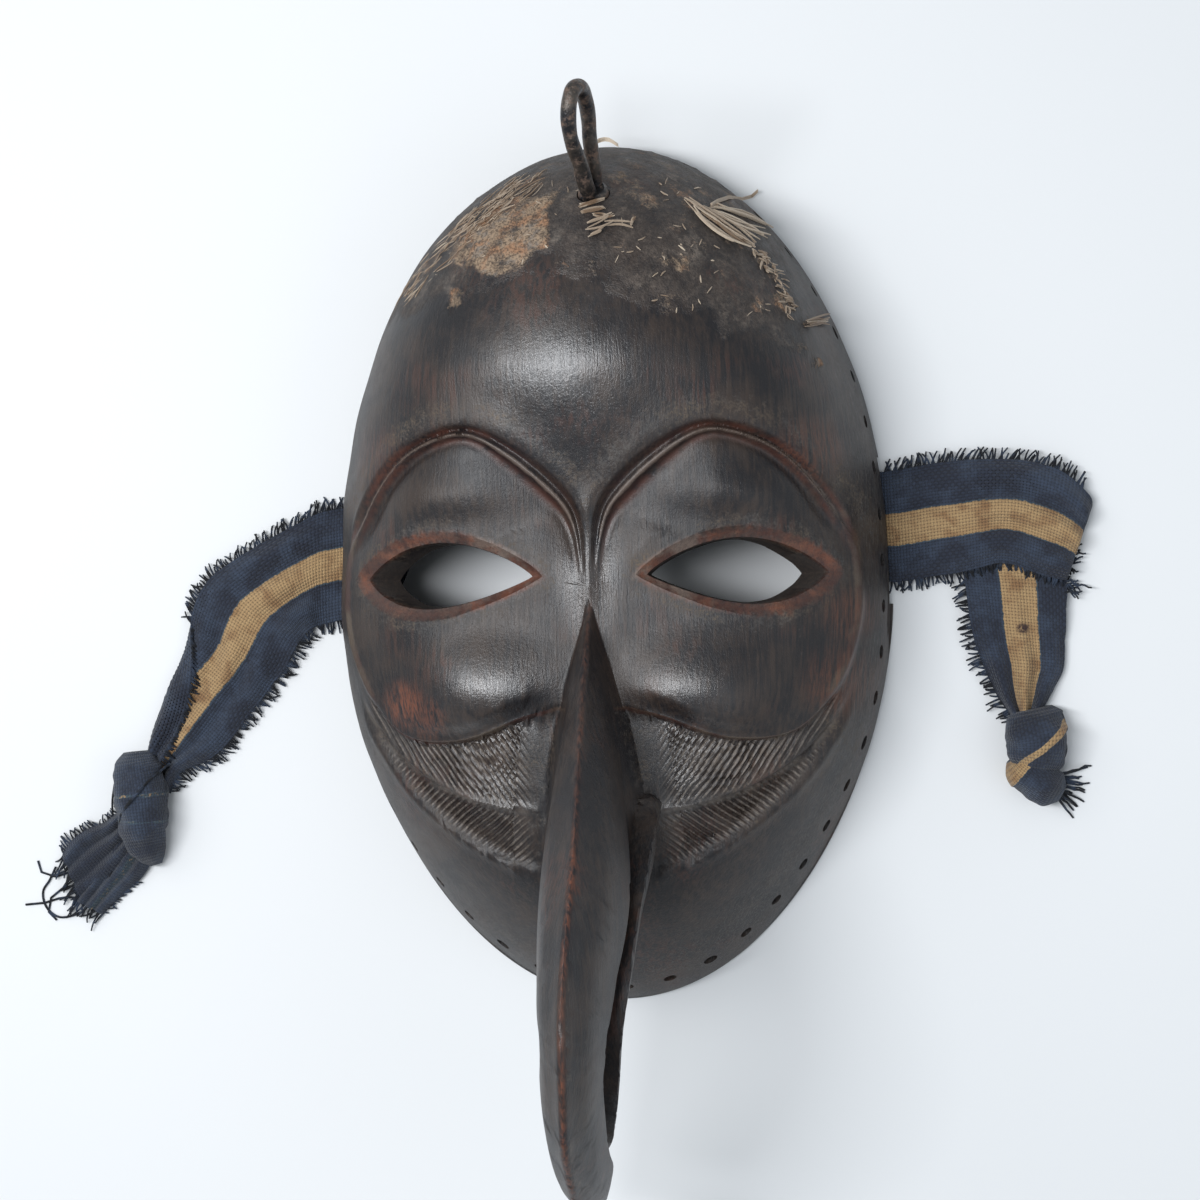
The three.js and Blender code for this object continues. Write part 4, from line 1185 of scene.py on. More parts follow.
def makeIron():
    material, tree, shader, place = newMaterial("forged iron")
    look = ironLook
    broad = tree.noise(place, 5.0, 4.0)
    fine = tree.noise(place, 0.7, 3.0, 0.65)
    colour = tree.blend(tree.stepUp(broad, 0.4, 0.62), look["dark"], look["worn"])
    rust = tree.film(place, 0.50, 2.6, 0.12)
    colour = tree.blend(tree.times(rust, 0.7), colour, look["rust"])
    dust = tree.film(place, 0.40, 1.3, 0.08)
    colour = tree.blend(tree.times(dust, 0.5), colour, look["dust"])
    rough = tree.plus(look["roughness"], tree.times(tree.larger(rust, dust), 0.4))
    tree.link(tree.minus(0.75, tree.times(rust, 0.6)), shader.inputs["Metallic"])
    height = tree.plus(tree.times(broad, 1.2), tree.times(fine, 0.7))
    connect(tree, shader, colour, rough, height, 0.3)
    return material


clothLook = {
    "indigo": (0.0125, 0.0165, 0.031),
    "faded": (0.033, 0.048, 0.080),
    "black": (0.0065, 0.0075, 0.0105),
    "ochre": (0.40, 0.265, 0.130),
    "ochreDark": (0.235, 0.130, 0.058),
    "tealEdge": (0.045, 0.075, 0.095),
    "stain": (0.045, 0.022, 0.018),
    "sheen": 0.12,
    "sheenRoughness": 0.5,
    "yarnPitch": 0.92,  # mm
}


def makeCloth():
    material, tree, shader, place = newMaterial("striped indigo cotton")
    look = clothLook
    names = ("along", "across", "stripe", "loose", "stain")
    along, across, stripe, loose, stain = [tree.painted(name) for name in names]
    weave = tree.effect("weave",
                        {"Along": along, "Across": across, "Pitch": look["yarnPitch"], "Open": loose})
    cells = tree.add("CombineXYZ", {0: along, 1: across}).outputs[0]
    counted = tree.stretched(cells, (1 / look["yarnPitch"], 1 / look["yarnPitch"], 1))
    counted = tree.add("VectorMath", {0: counted}, operation="FLOOR").outputs[0]
    threadTone = tree.add("TexWhiteNoise", {"Vector": counted}).outputs["Value"]
    broad = tree.noise(place, 9.0, 3.0)
    colour = tree.blend(tree.stepUp(broad, 0.4, 0.65), look["indigo"], look["faded"])
    colour = tree.blend(tree.times(threadTone, 0.35), colour, look["black"])
    colour = tree.blend(tree.times(weave["Warp"], 0.25), colour, look["faded"])
    ragged = tree.noise(cells, 1.3, 2.0)
    edge = tree.plus(stripe, tree.times(tree.minus(ragged, 0.5), 0.5))
    ochre = tree.blend(tree.stepUp(tree.noise(place, 5.5, 3.0), 0.45, 0.72), look["ochre"],
                       look["ochreDark"])
    ochre = tree.blend(tree.times(threadTone, 0.3), ochre, look["ochreDark"])
    ochre = tree.blend(tree.times(stain, tree.stepUp(ragged, 0.3, 0.5)), ochre, look["stain"])
    colour = tree.blend(tree.times(tree.stepUp(edge, 0.28, 0.42), 0.75), colour, look["tealEdge"])
    colour = tree.blend(tree.stepUp(edge, 0.44, 0.56), colour, ochre)
    # painted shade: the cloth darkens towards black where the weave sinks between the yarns
    colour = tree.blend(tree.stepUp(weave["Height"], 0.55, 0.1, 0.6), colour, look["black"])
    rough = tree.plus(0.82, tree.times(ragged, 0.15))
    shader.inputs["Sheen Weight"].default_value = look["sheen"]
    shader.inputs["Sheen Roughness"].default_value = look["sheenRoughness"]
    tree.link(tree.minus(1.0, weave["Gap"]), shader.inputs["Alpha"])
    connect(tree, shader, colour, rough, weave["Height"], 0.28)
    return material


yarnFuzz = (0.10, 0.11, 0.12)


def makeYarn():
    material, tree, shader, place = newMaterial("loose indigo yarn")
    fuzz = tree.noise(place, 0.6, 3.0, 0.7)
    colour = tree.blend(tree.stepUp(tree.noise(place, 3.0), 0.42, 0.68), clothLook["black"],
                        clothLook["faded"])
    colour = tree.blend(tree.stepUp(fuzz, 0.62, 0.75, 0.5), colour, yarnFuzz)
    connect(tree, shader, colour, tree.plus(0.8, tree.times(fuzz, 0.15)), fuzz, 0.2)
    return material


strawLook = {
    "brown": (0.16, 0.10, 0.06),
    "pale": (0.66, 0.56, 0.44),
    "streak": (0.24, 0.15, 0.09),
    "dust": (0.10, 0.08, 0.065),
}


def makeStraw():
    material, tree, shader, place = newMaterial("dry straw")
    look = strawLook
    tone = tree.painted("tone")
    fibres = tree.effect("grain", {"Vector": place, "Width": 0.3, "Stretch": 3.0})
    colour = tree.blend(tone, look["brown"], look["pale"])
    colour = tree.blend(tree.times(fibres["Streaks"], 0.35), colour, look["streak"])
    dust = tree.film(place, 0.45, 1.5, 0.15)
    colour = tree.blend(tree.times(dust, 0.22), colour, look["dust"])
    rough = tree.plus(0.55, tree.times(dust, 0.35))
    connect(tree, shader, colour, rough, fibres["Streaks"], 0.12)
    return material


# The iron loop: one rod bent to an oval eye, its two ends in a shank driven into the forehead
def loopPlace(up, across, out=0.0):
    facing = loopAlong.cross(loopAcross).normalized()
    return Vector(loop["foot"]) + loopAlong * up + loopAcross * across + facing * out


def makeLoop(iron):
    outline = loop["half"] + [[loop["top"], 0]] + [[up, -across] for up, across in reversed(loop["half"])]
    count = 130
    path = smoothLine(outline, count)
    way = np.gradient(path, axis=0)
    way /= np.linalg.norm(way, axis=1, keepdims=True)
    sides = 28
    turn = np.arange(sides) * 2 * math.pi / sides
    rings = []
    for i, ((up, across), (du, da)) in enumerate(zip(path, way)):
        hammered = loop["rod"] * (1 + 0.05 * wobble(i * 0.27, turn * 1.5, 0, 41, 4)
                                  + 0.05 * math.sin(i * 0.11))
        rings.append([loopPlace(up + da * r * math.cos(t), across - du * r * math.cos(t), r * math.sin(t))
                      for t, r in zip(turn, hammered)])
    rod = facingOut(pulledSphere("iron-loop", closedRings(rings)))
    profile = [[-loop["shankDepth"], 0.85], [-loop["shankDepth"] + 0.6, 1.0], [-2, 1.0], [0.6, 1.0],
               [1.7, 0.93], [2.4, 0.78]]
    shank = []
    for up, share in profile:
        radius = loop["shank"] * share * (1 + 0.04 * wobble(up, turn * 2.0, 0, 42, 3))
        shank.append([loopPlace(up, r * math.cos(t), r * math.sin(t)) for t, r in zip(turn, radius)])
    foot = facingOut(pulledSphere("shank", closedRings(shank)))
    cutOrJoin(rod, foot, "UNION", crossesItself=True)  # the rod's two ends lie in each other in the shank
    rod.name = rod.data.name = "iron-loop"
    putCoords(rod, inModel(coordsOf(rod)))
    dress(rod, iron, loop["sharpAngle"])
    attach(rod, "root")
    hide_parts("hanging-loop")
    say("loop is done")


# The cloth ties, in mm. Each row of a strip is [one edge, other edge, height, width turned over one edge]
cloth = {
    "width": 33.0,
    "flatLength": 0.26,  # m
    "thickness": 0.7,
    "across": 72,
    "step": 0.55,
    "lowest": 0.55,
    "threadRadius": 0.34,
    "sharpAngle": 60,
    "closeWeave": 0.14,  # how open the weave is where it isn't pulled apart
    "innerSeams": [[0.5, 0.1, 0.7]],  # place, slope, depth of a turn's edge on a knot's far end
}
leftTie = {
    "strip": [
        [(-56.7, 43.7), (-47.3, 40.3), 3.2, 0], [(-67.7, 31), (-56.3, 21), 1.2, 0],
        [(-74.6, 30), (-67.4, 0), 0.6, 0], [(-81.6, 29.4), (-81.7, -3.2), 0.6, 0],
        [(-87.1, 28.2), (-86.8, -4.3), 1.2, 0], [(-95, 24.3), (-89, -5.2), 1.8, 0],
        [(-104, 19.5), (-90.8, -6.6), 2.2, 0], [(-112, 14.8), (-92, -8.3), 2.4, 0],
        [(-118.7, 10.2), (-93.2, -9.8), 2.4, 0], [(-122.6, 5.2), (-95.4, -13.4), 2.2, 0],
        [(-124.6, 0.4), (-97.6, -17.4), 2.0, 0], [(-125.6, -5.2), (-101.5, -21.8), 1.8, 1.0],
        [(-127.2, -10.8), (-104.4, -25.8), 1.8, 3.5], [(-129.3, -16), (-107.5, -29), 1.8, 5.5],
        [(-131.6, -20.8), (-111.8, -34.8), 1.8, 7], [(-134.3, -27), (-117, -40.6), 1.8, 8],
        [(-136.4, -32), (-121.5, -43.8), 1.6, 8], [(-137.8, -36.2), (-125.5, -45.4), 1.6, 7],
        [(-138.7, -39.8), (-128.6, -46.8), 1.8, 6], [(-139.2, -43), (-130.6, -49.5), 2.4, 5],
        [(-140, -47.5), (-132, -53), 3.2, 4]],
    "leaves": [
        [[(-147, -58), (-139, -64), 4.0, 0], [(-152, -61.5), (-144.5, -71), 2.6, 0],
         [(-157.5, -63.5), (-150, -77), 1.6, 0],
         [(-162, -66.5), (-155, -81.5), 1.0, 0], [(-165.4, -70.8), (-160.2, -84), 0.8, 0]],
        [[(-147, -62), (-136.8, -68.5), 2.6, 0], [(-149.5, -67), (-138.7, -73.7), 1.6, 0],
         [(-153, -73), (-141.8, -78), 1.2, 0],
         [(-157, -79), (-147.5, -82.8), 0.9, 0], [(-161.5, -84.6), (-153.6, -88.6), 0.7, 0]]],
    # each station of a knot is [x, y, half width, half height]
    "knot": [[-141.8, -40.6, 2.2, 3.6], [-141.6, -43, 4.4, 5.6], [-140.6, -48, 6.2, 7.4],
             [-139.7, -53, 6.9, 8.2], [-139.2, -58, 6.5, 8.1], [-138.8, -63, 6.2, 7.5],
             [-138.2, -68, 5.2, 6.2], [-137.4, -72, 3.4, 4.4], [-136.8, -74, 1.5, 2.6]],
    "knotSeams": [[0.14, 0.05, 0.8], [0.78, -0.12, 0.9]],  # place, slope, depth
    "knotStripes": [[0.37, 0.02, 0.018, 0.46], [0.60, 0.02, 0.016, 0.42]],  # place, slope, half, strength
    "innerKnot": [[-46, 36, 3, 3], [-48.5, 40, 7, 5], [-52, 45, 8.5, 6.3], [-55, 50, 6, 5],
                  [-57, 53, 3, 3]],
    "longThreads": [
        [(-131.5, -44.2, 6), (-134, -47, 12), (-137, -50.5, 17.4), (-140.5, -54.5, 18.2),
         (-143.6, -58, 15.4), (-146.2, -62, 8), (-148, -66.4, 4)],
        [(-132.3, -44.8, 6), (-135, -48, 13.4), (-138, -52, 18.3), (-141.6, -56.2, 17.6),
         (-144.8, -60, 12.6), (-147.4, -65, 6)],
        [(-147.6, -50, 8), (-148.9, -55, 6), (-149.4, -60, 4), (-149.2, -64.5, 4)],
        [(-149.6, -66.9, 5), (-149.4, -70, 4), (-149.6, -73.6, 3.4), (-151.2, -78.7, 2.6),
         (-150.4, -85.4, 0.4)],
        [(-161, -83.8, 1.4), (-164.5, -83.6, 0.8), (-167.2, -84, 0.5), (-171.6, -85.3, 0.4),
         (-177.4, -85.8, 0.4)],
        [(-160, -88, 1.2), (-163.5, -89.2, 0.8), (-167.3, -89.5, 0.5), (-171.1, -86.5, 0.4),
         (-171.9, -81.5, 0.4), (-170.1, -78.9, 0.6), (-167.8, -74.6, 1.0)],
        [(-162, -80, 1.2), (-166, -81, 0.6), (-169.6, -83.8, 0.4), (-170.4, -88, 0.4),
         (-168, -90.4, 0.4)],
        [(-163, -76, 1.2), (-168, -77.6, 0.5), (-172.4, -76.2, 0.4), (-173.4, -72.8, 0.4)]],
}
rightTie = {
    "strip": [
        [(56.5, 48.1), (47.5, 43.9), 3.2, 0], [(67, 35.9), (57, 26.1), 1.2, 0],
        [(73.9, 36.9), (68.1, 9.3), 0.6, 0], [(78.4, 36.9), (79.6, 5.4), 0.6, 0],
        [(84.5, 37.6), (85.5, 5.8), 1.4, 0], [(91, 38.7), (92.4, 6.8), 2.4, 0],
        [(98, 39.3), (99.2, 7.6), 3.2, 0], [(105, 39.6), (105.2, 8.9), 3.8, 0],
        [(112.3, 39.4), (110.6, 10.0), 4.2, 0], [(118.3, 38.9), (115.5, 9.2), 4.4, 0],
        [(123.6, 37.6), (119.7, 7.4), 4.5, 0], [(128.3, 35.9), (123.2, 6.2), 4.5, 0],
        [(132.2, 33), (126.2, 5.6), 4.4, 0], [(135.2, 30), (128.2, 5.2), 3.9, 0],
        [(136.9, 27.6), (129.2, 5.0), 2.9, 0], [(136.6, 25.4), (129.0, 4.6), 1.7, 0],
        [(133.6, 23), (126.4, 5.6), 0.9, 0], [(128, 20.6), (121, 7), 0.7, 0]],
    "leg": [
        [(98.6, 19), (128.6, 19), 1.6, -3], [(99.6, 11), (129.2, 11), 1.9, -3.4],
        [(100.7, 4.4), (129.3, 2.4), 2.1, -4], [(101.4, -1.1), (129.0, -4), 2.1, -4.4],
        [(102.1, -6.6), (128.7, -9.6), 2.0, -4.6], [(103.3, -12.7), (128.3, -15.4), 2.0, -5],
        [(105.2, -18.2), (127.7, -20.8), 2.0, -5], [(107.2, -23), (125.4, -25.4), 2.1, -5],
        [(109.8, -28.5), (123.2, -29.6), 2.4, -5], [(112.6, -32.6), (121.2, -33.2), 3.0, -4],
        [(114.6, -36.4), (120.2, -36.8), 3.8, -3]],
    "knot": [[118.6, -31.6, 4.6, 3.6], [118.9, -33.2, 6.6, 5.6], [119.8, -37, 7.8, 7.4],
             [120.5, -41, 8.2, 7.8], [120.3, -45, 7.6, 7.4], [119.8, -48.6, 5.6, 6.0],
             [119.6, -51, 2.8, 3.6]],
    "lobe": [[113.2, -45.4, 2.0, 3.0], [114.6, -47, 4.4, 5.2], [118.2, -50, 5.6, 6.4],
             [121.8, -52.8, 5.8, 6.4], [124.6, -54.6, 5.0, 5.6], [127, -56, 2.6, 3.2]],
    "knotSeams": [[0.12, 0.03, 0.5], [0.62, -0.22, 0.8]],
    "knotStripes": [[0.62, -0.32, 0.06, 0.9]],
    "lobeSeams": [[0.34, 0.05, 0.5]],
    "lobeStripes": [[0.16, 0.02, 0.14, 0.95]],
    "innerKnot": [[46, 40, 3, 3], [48.5, 44, 7, 5], [51, 48, 8.5, 6.3], [54, 54, 6, 5], [56, 57, 3, 3]],
    "fan": 15,  # threads
    "tuft": 34,
}


def clothRow(first, second, low, turned, place):
    count = cloth["across"]
    run = np.linspace(0, cloth["width"], count + 1)
    first, second = np.array(first, float), np.array(second, float)
    chord = np.hypot(*(second - first))
    way = (second - first) / chord
    spare = abs(turned)
    flat = cloth["width"] - spare
    if turned >= 0:  # the first edge is turned over on top
        over = run < spare
        across = np.where(over, spare - run, (run - spare) * chord / flat)
        depth = 1.5 * fadeIn(0, 1.6, across) * over
    else:  # the second edge is turned under
        over = run > flat
        across = np.where(over, chord - (run - flat), run * chord / flat)
        depth = -1.3 * fadeIn(0, 1.6, chord - across) * over
    tight = max(flat / chord, 1.0)
    folds = 3
    high = min(chord / (math.pi * folds) * math.sqrt(2 * (tight**2 - 1)), 0.7 + 0.8 * max(low, 0))
    t = across / chord
    wave = high * 0.5 * (1 - np.cos(2 * math.pi * folds * t + 0.6 * math.sin(place * 0.11)))
    cup = 0.9 * np.sin(math.pi * t) + 0.45 * wobble(across, place, 0, 51, 17)
    z = low + depth + wave + np.maximum(cup, -0.3) * min(1, low)
    flatRun = np.stack([first[0] + way[0] * across, first[1] + way[1] * across, np.maximum(z, 0)], 1)
    return flatRun, run


def clothStrip(rows):  # points of a strip [row, across], with how far along and across each is
    table = np.array([[*first, *second, low, turned] for first, second, low, turned in rows], float)
    middle = (table[:, :2] + table[:, 2:4]) / 2
    run = runAlong(middle)
    count = max(int(run[-1] / cloth["step"]), 4)
    at = np.linspace(0, run[-1], count + 1)
    ax, ay, bx, by, low, turned = columnsAt(table, run, at)
    turned = np.where(np.abs(turned) < 0.6, 0, turned)
    points, across = [], []
    for i in range(count + 1):
        row, places = clothRow((ax[i], ay[i]), (bx[i], by[i]), low[i], turned[i], at[i])
        points.append(row)
        across.append(places)
    points = np.array(points)
    points[:, :, 2] += cloth["lowest"]
    return points, np.repeat(at[:, None], len(across[0]), 1), np.array(across)


def gridPiece(name, points, along, across, marks):  # a flat grid pulled to the points, made thick
    rows, columns = points.shape[0], points.shape[1]
    piece = newShape("grid", name, x_subdivisions=columns - 1, y_subdivisions=rows - 1, size=2)
    co = coordsOf(piece)
    column = np.rint((co[:, 0] + 1) / 2 * (columns - 1)).astype(int)
    row = np.rint((co[:, 1] + 1) / 2 * (rows - 1)).astype(int)
    putCoords(piece, points[row, column])
    for title, values in {"along": along, "across": across, **marks}.items():
        paint(piece, title, np.asarray(values)[row, column])
    onlyActive(piece)
    thick = piece.modifiers.new("thickness", "SOLIDIFY")
    thick.thickness = cloth["thickness"]
    thick.offset = 0
    bpy.ops.object.modifier_apply(modifier="thickness")
    return facingOut(piece)


def stripeAt(across, middle=16.4, half=4.7):
    return fadeIn(half + 1.5, half - 1.5, np.abs(across - middle))


# a knotted lump: cloth wound round, with the edges of its turns
def makeWrap(name, stations, seams, stripes):
    table = np.array(stations, float)
    run = runAlong(table[:, :2])
    count, sides = ((52, 88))
    at = np.linspace(0, run[-1], count)
    x, y, wide, high = columnsAt(table, run, at)
    way = np.stack([np.gradient(x), np.gradient(y)], 1)
    way /= np.linalg.norm(way, axis=1, keepdims=True)
    turn = np.arange(sides) * 2 * math.pi / sides
    rings, along, across, stripe = [], [], [], []
    for i in range(count):
        share = at[i] / run[-1]
        swell = np.zeros(sides)
        # each seam is a step where one turn of cloth lies over the next
        for place, slope, depth in seams:
            swell = swell + depth * fadeIn(-0.025, 0.025, place + slope * np.cos(turn) - share)
        creases = 0.22 * np.sin(turn * 5 + share * 9) + 0.3 * wobble(at[i], turn * 5, 0, 52, 7)
        beside = (wide[i] + swell + creases) * np.cos(turn)
        up = (high[i] + 0.7 * swell + creases) * np.sin(turn)
        rings.append(np.stack([x[i] - way[i, 1] * beside, y[i] + way[i, 0] * beside,
                               cloth["lowest"] + high[i] + up], 1))
        along.append(np.full(sides, at[i]))
        across.append(turn * 7.5)
        stripe.append(np.zeros(sides))
        for place, slope, half, strength in stripes:
            off = np.abs(share - place - slope * np.cos(turn))
            stripe[-1] = np.maximum(stripe[-1], strength * fadeIn(half * 1.4, half * 0.6, off))
    rings = closedRings(np.maximum(np.array(rings), [-1e9, -1e9, 0.3]))
    piece = facingOut(pulledSphere(name, rings))
    pad = lambda rows: np.array([rows[0], *rows, rows[-1]])
    co = coordsOf(piece)
    near = [np.argmin(((rings.reshape(-1, 3) - point) ** 2).sum(1)) for point in co]
    for title, values in (("along", along), ("across", across), ("stripe", stripe)):
        paint(piece, title, pad(values).reshape(-1)[near])
    for title in ("loose", "stain"):
        paint(piece, title, np.zeros(len(co)))
    return piece


# thin round threads, drawn as curves and made a mesh
def makeThreads(name, paths, radius, material, tones=None):
    line = bpy.data.curves.new(name, "CURVE")
    line.dimensions = "3D"
    line.bevel_depth = radius * mm
    line.bevel_resolution = 0
    line.use_fill_caps = True
    for path in paths:
        spline = line.splines.new("POLY")
        spline.points.add(len(path) - 1)
        for i, (point, place) in enumerate(zip(spline.points, inModel([p[:3] for p in path]))):
            point.co = (*place, 1)
            point.radius = path[i][3] if len(path[i]) > 3 else 1.0
    piece = bpy.data.objects.new(name, line)
    bpy.context.scene.collection.objects.link(piece)
    onlyActive(piece)
    bpy.ops.object.convert(target="MESH")
    piece = bpy.context.object
    if tones is not None:
        sizes = np.array([len(path) for path in paths])
        # four corners a ring, and four in each end cap
        paint(piece, "tone", np.repeat(tones, sizes * 4 + 8))
    bpy.ops.object.mode_set(mode="EDIT")
    bpy.ops.mesh.select_all(action="SELECT")
    bpy.ops.mesh.remove_doubles(threshold=0.000004)
    bpy.ops.mesh.normals_make_consistent(inside=False)
    bpy.ops.object.mode_set(mode="OBJECT")
    dress(piece, material, cloth["sharpAngle"])
    return piece


# short threads standing out from an edge of points, away from the cloth
def fringeAlong(points, away, rng, spacing=0.72, length=(1.9, 4.0), slant=0.35, up=0.5):
    points, away = np.asarray(points, float), np.asarray(away, float)
    run = runInSpace(points)
    threads = []
    for at in np.arange(0.3, run[-1], spacing):
        at += rng.normal() * 0.2
        root = np.array([np.interp(at, run, points[:, i]) for i in range(3)])
        out = np.array([np.interp(at, run, away[:, i]) for i in range(3)])
        out /= np.linalg.norm(out) + 1e-9
        beside = np.array([-out[1], out[0], 0])
        reach = rng.uniform(*length)
        lean = slant + rng.normal() * 0.35
        bend = rng.normal() * 0.5
        steps = 5
        path = []
        for k in range(steps + 1):
            t = k / steps
            place = root + (out * (t * reach - 0.5 * (1 - t))
                            + beside * (lean * t + bend * t * t) * reach * 0.6)
            place[2] = max(root[2] + up * math.sin(t * 2.4) * rng.uniform(0.5, 1.2)
                           - t * t * root[2] * 0.6, 0.28)
            path.append([*place, 1.0 - 0.35 * t])
        threads.append(path)
    return threads


def edgeOf(points, column):  # one edge of a strip, with the way out of the cloth there
    edge = points[:, column]
    inner = points[:, 1 if column == 0 else -2]
    return edge, edge - inner


def declareTie(piece, fringe, cotton, node):
    putCoords(piece, inModel(coordsOf(piece)))
    dress(piece, cotton, cloth["sharpAngle"])
    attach(piece, "root")
    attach(fringe, "root")
    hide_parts(node)


def stripPiece(rows, open=()):
    points, along, across = clothStrip(rows)
    loose = np.full(along.shape, cloth["closeWeave"])
    for start, end, low, high, strength in open:
        zone = fadeIn(start, start + 6, along) * fadeIn(end, end - 6, along)
        zone = zone * fadeIn(low - 1, low + 1, across) * fadeIn(high + 3, high, across)
        loose = np.maximum(loose, strength * zone)
    return points, along, across, loose


def makeLeftTie(cotton, yarn):
    rng = np.random.default_rng(61)
    points, along, across, loose = stripPiece(leftTie["strip"],
                                              open=[(100, 126, 0, 5, 0.6), (70, 100, 0, 2.5, 0.4)])
    stain = np.zeros(along.shape)
    pieces = [gridPiece("left-strip", points, along, across,
                        {"stripe": stripeAt(across), "loose": loose, "stain": stain})]
    outside = along[:, 0] > 40
    threads = []
    for column in (0, -1):
        edge, away = edgeOf(points, column)
        threads += fringeAlong(edge[outside], away[outside], rng, slant=0.25 if column else -0.35)
    for index, leaf in enumerate(leftTie["leaves"]):
        points, along, across, loose = stripPiece(leaf)
        loose = np.maximum(loose, 0.55 * fadeIn(9, 2, across) * (index == 0))
        faint = 0.42 * stripeAt(across, 19, 3) * (index == 1)
        pieces.append(gridPiece("leaf", points, along, across,
                                {"stripe": faint, "loose": loose, "stain": along * 0}))
        edge, away = edgeOf(points, 0)
        threads += fringeAlong(edge, away, rng, 0.9, (2, 4.5))
        edge, away = edgeOf(points, -1)
        threads += fringeAlong(edge[len(edge) // 2:], away[len(edge) // 2:], rng, 1.1, (0.8, 1.8))
        threads += fringeAlong(points[-1], points[-1] - points[-2], rng, 0.9, (2.5, 6.5))
    pieces.append(makeWrap("left-wrap", leftTie["knot"], leftTie["knotSeams"], leftTie["knotStripes"]))
    pieces.append(makeWrap("inner-wrap", leftTie["innerKnot"], cloth["innerSeams"], []))
    piece = joined(pieces)
    piece.name = piece.data.name = "left-tie-cloth"
    threads += [[[*point, 1.0] for point in path] for path in leftTie["longThreads"]]
    threads = [smoothThread(path) if len(path) > 6 or path[0][2] > 4.5 else path for path in threads]
    fringe = makeThreads("left-tie-threads", threads, cloth["threadRadius"], yarn)
    declareTie(piece, fringe, cotton, "left-tie")
    say("left tie is done")


def smoothThread(path, count=26):
    path = np.array(path, float)
    run = runInSpace(path[:, :3])
    return np.stack(columnsAt(path, run, np.linspace(0, run[-1], count)), 1).tolist()


def makeRightTie(cotton, yarn):
    rng = np.random.default_rng(62)
    points, along, across, loose = stripPiece(rightTie["strip"],
                                              open=[(60, 84, 3, 9, 0.42), (84, 110, 3, 7, 0.25)])
    stain = np.zeros(along.shape)
    pieces = [gridPiece("right-strip", points, along, across,
                        {"stripe": stripeAt(across, 17.6), "loose": loose, "stain": stain})]
    outside = (along[:, 0] > 38) & (along[:, 0] < along[-1, 0] - 12)
    threads = []
    for column in (0, -1):
        edge, away = edgeOf(points, column)
        threads += fringeAlong(edge[outside], away[outside], rng, 0.75, (2.2, 4.0),
                               -0.45 if column == 0 else 0.3, 0.4)
    points, along, across, loose = stripPiece(rightTie["leg"])
    spot = fadeIn(2.2, 1.2, np.hypot(points[:, :, 0] - 116.8, (points[:, :, 1] + 8.7) * 1.3))
    pieces.append(gridPiece("right-leg", points, along, across,
                            {"stripe": stripeAt(across, 15.4, 5.1), "loose": loose, "stain": spot}))
    edge, away = edgeOf(points, 0)
    lower = along[:, 0] > 14
    threads += fringeAlong(edge[lower], away[lower], rng, 0.75, (2.0, 4.0), 0.5, 0.4)
    for name, part in (("right-wrap", "knot"), ("right-lobe", "lobe")):
        seams, stripes = rightTie[part + "Seams"], rightTie[part + "Stripes"]
        pieces.append(makeWrap(name, rightTie[part], seams, stripes))
    pieces.append(makeWrap("inner-wrap", rightTie["innerKnot"], cloth["innerSeams"], []))
    for k in range(rightTie["fan"]):  # the short end's threads, fanned out beside the knot
        turn = math.radians(-52 + 4.6 * k + rng.normal() * 3)
        reach = rng.uniform(5.5, 9.5)
        root = np.array([126.2 + rng.normal() * 0.5, -50.2 - 6.2 * (1 - k / 14),
                         3.2 + rng.normal() * 0.8])
        threads.append([[root[0] + math.cos(turn) * reach * t,
                         root[1] + math.sin(turn) * reach * t + rng.normal() * 0.15,
                         max(root[2] * (1 - t) + 0.5, 0.3), 1.25 - 0.5 * t]
                        for t in np.linspace(0, 1, 6)])
    for _ in range(rightTie["tuft"]):  # a tuft where the strip turns under itself
        root = np.array([129.5 + rng.normal() * 0.7, rng.uniform(1.5, 15), rng.uniform(1.2, 3.6)])
        turn = rng.uniform(-1.2, 0.6)
        reach = rng.uniform(2.0, 5.0)
        threads.append([[root[0] + math.cos(turn) * reach * t,
                         root[1] + math.sin(turn) * reach * t + rng.normal() * 0.2,
                         max(root[2] + rng.normal() * 0.25, 0.3), 1 - 0.3 * t]
                        for t in np.linspace(0, 1, 6)])
    piece = joined(pieces)
    piece.name = piece.data.name = "right-tie-cloth"
    fringe = makeThreads("right-tie-threads", threads, cloth["threadRadius"], yarn)
    declareTie(piece, fringe, cotton, "right-tie")
    say("right tie is done")


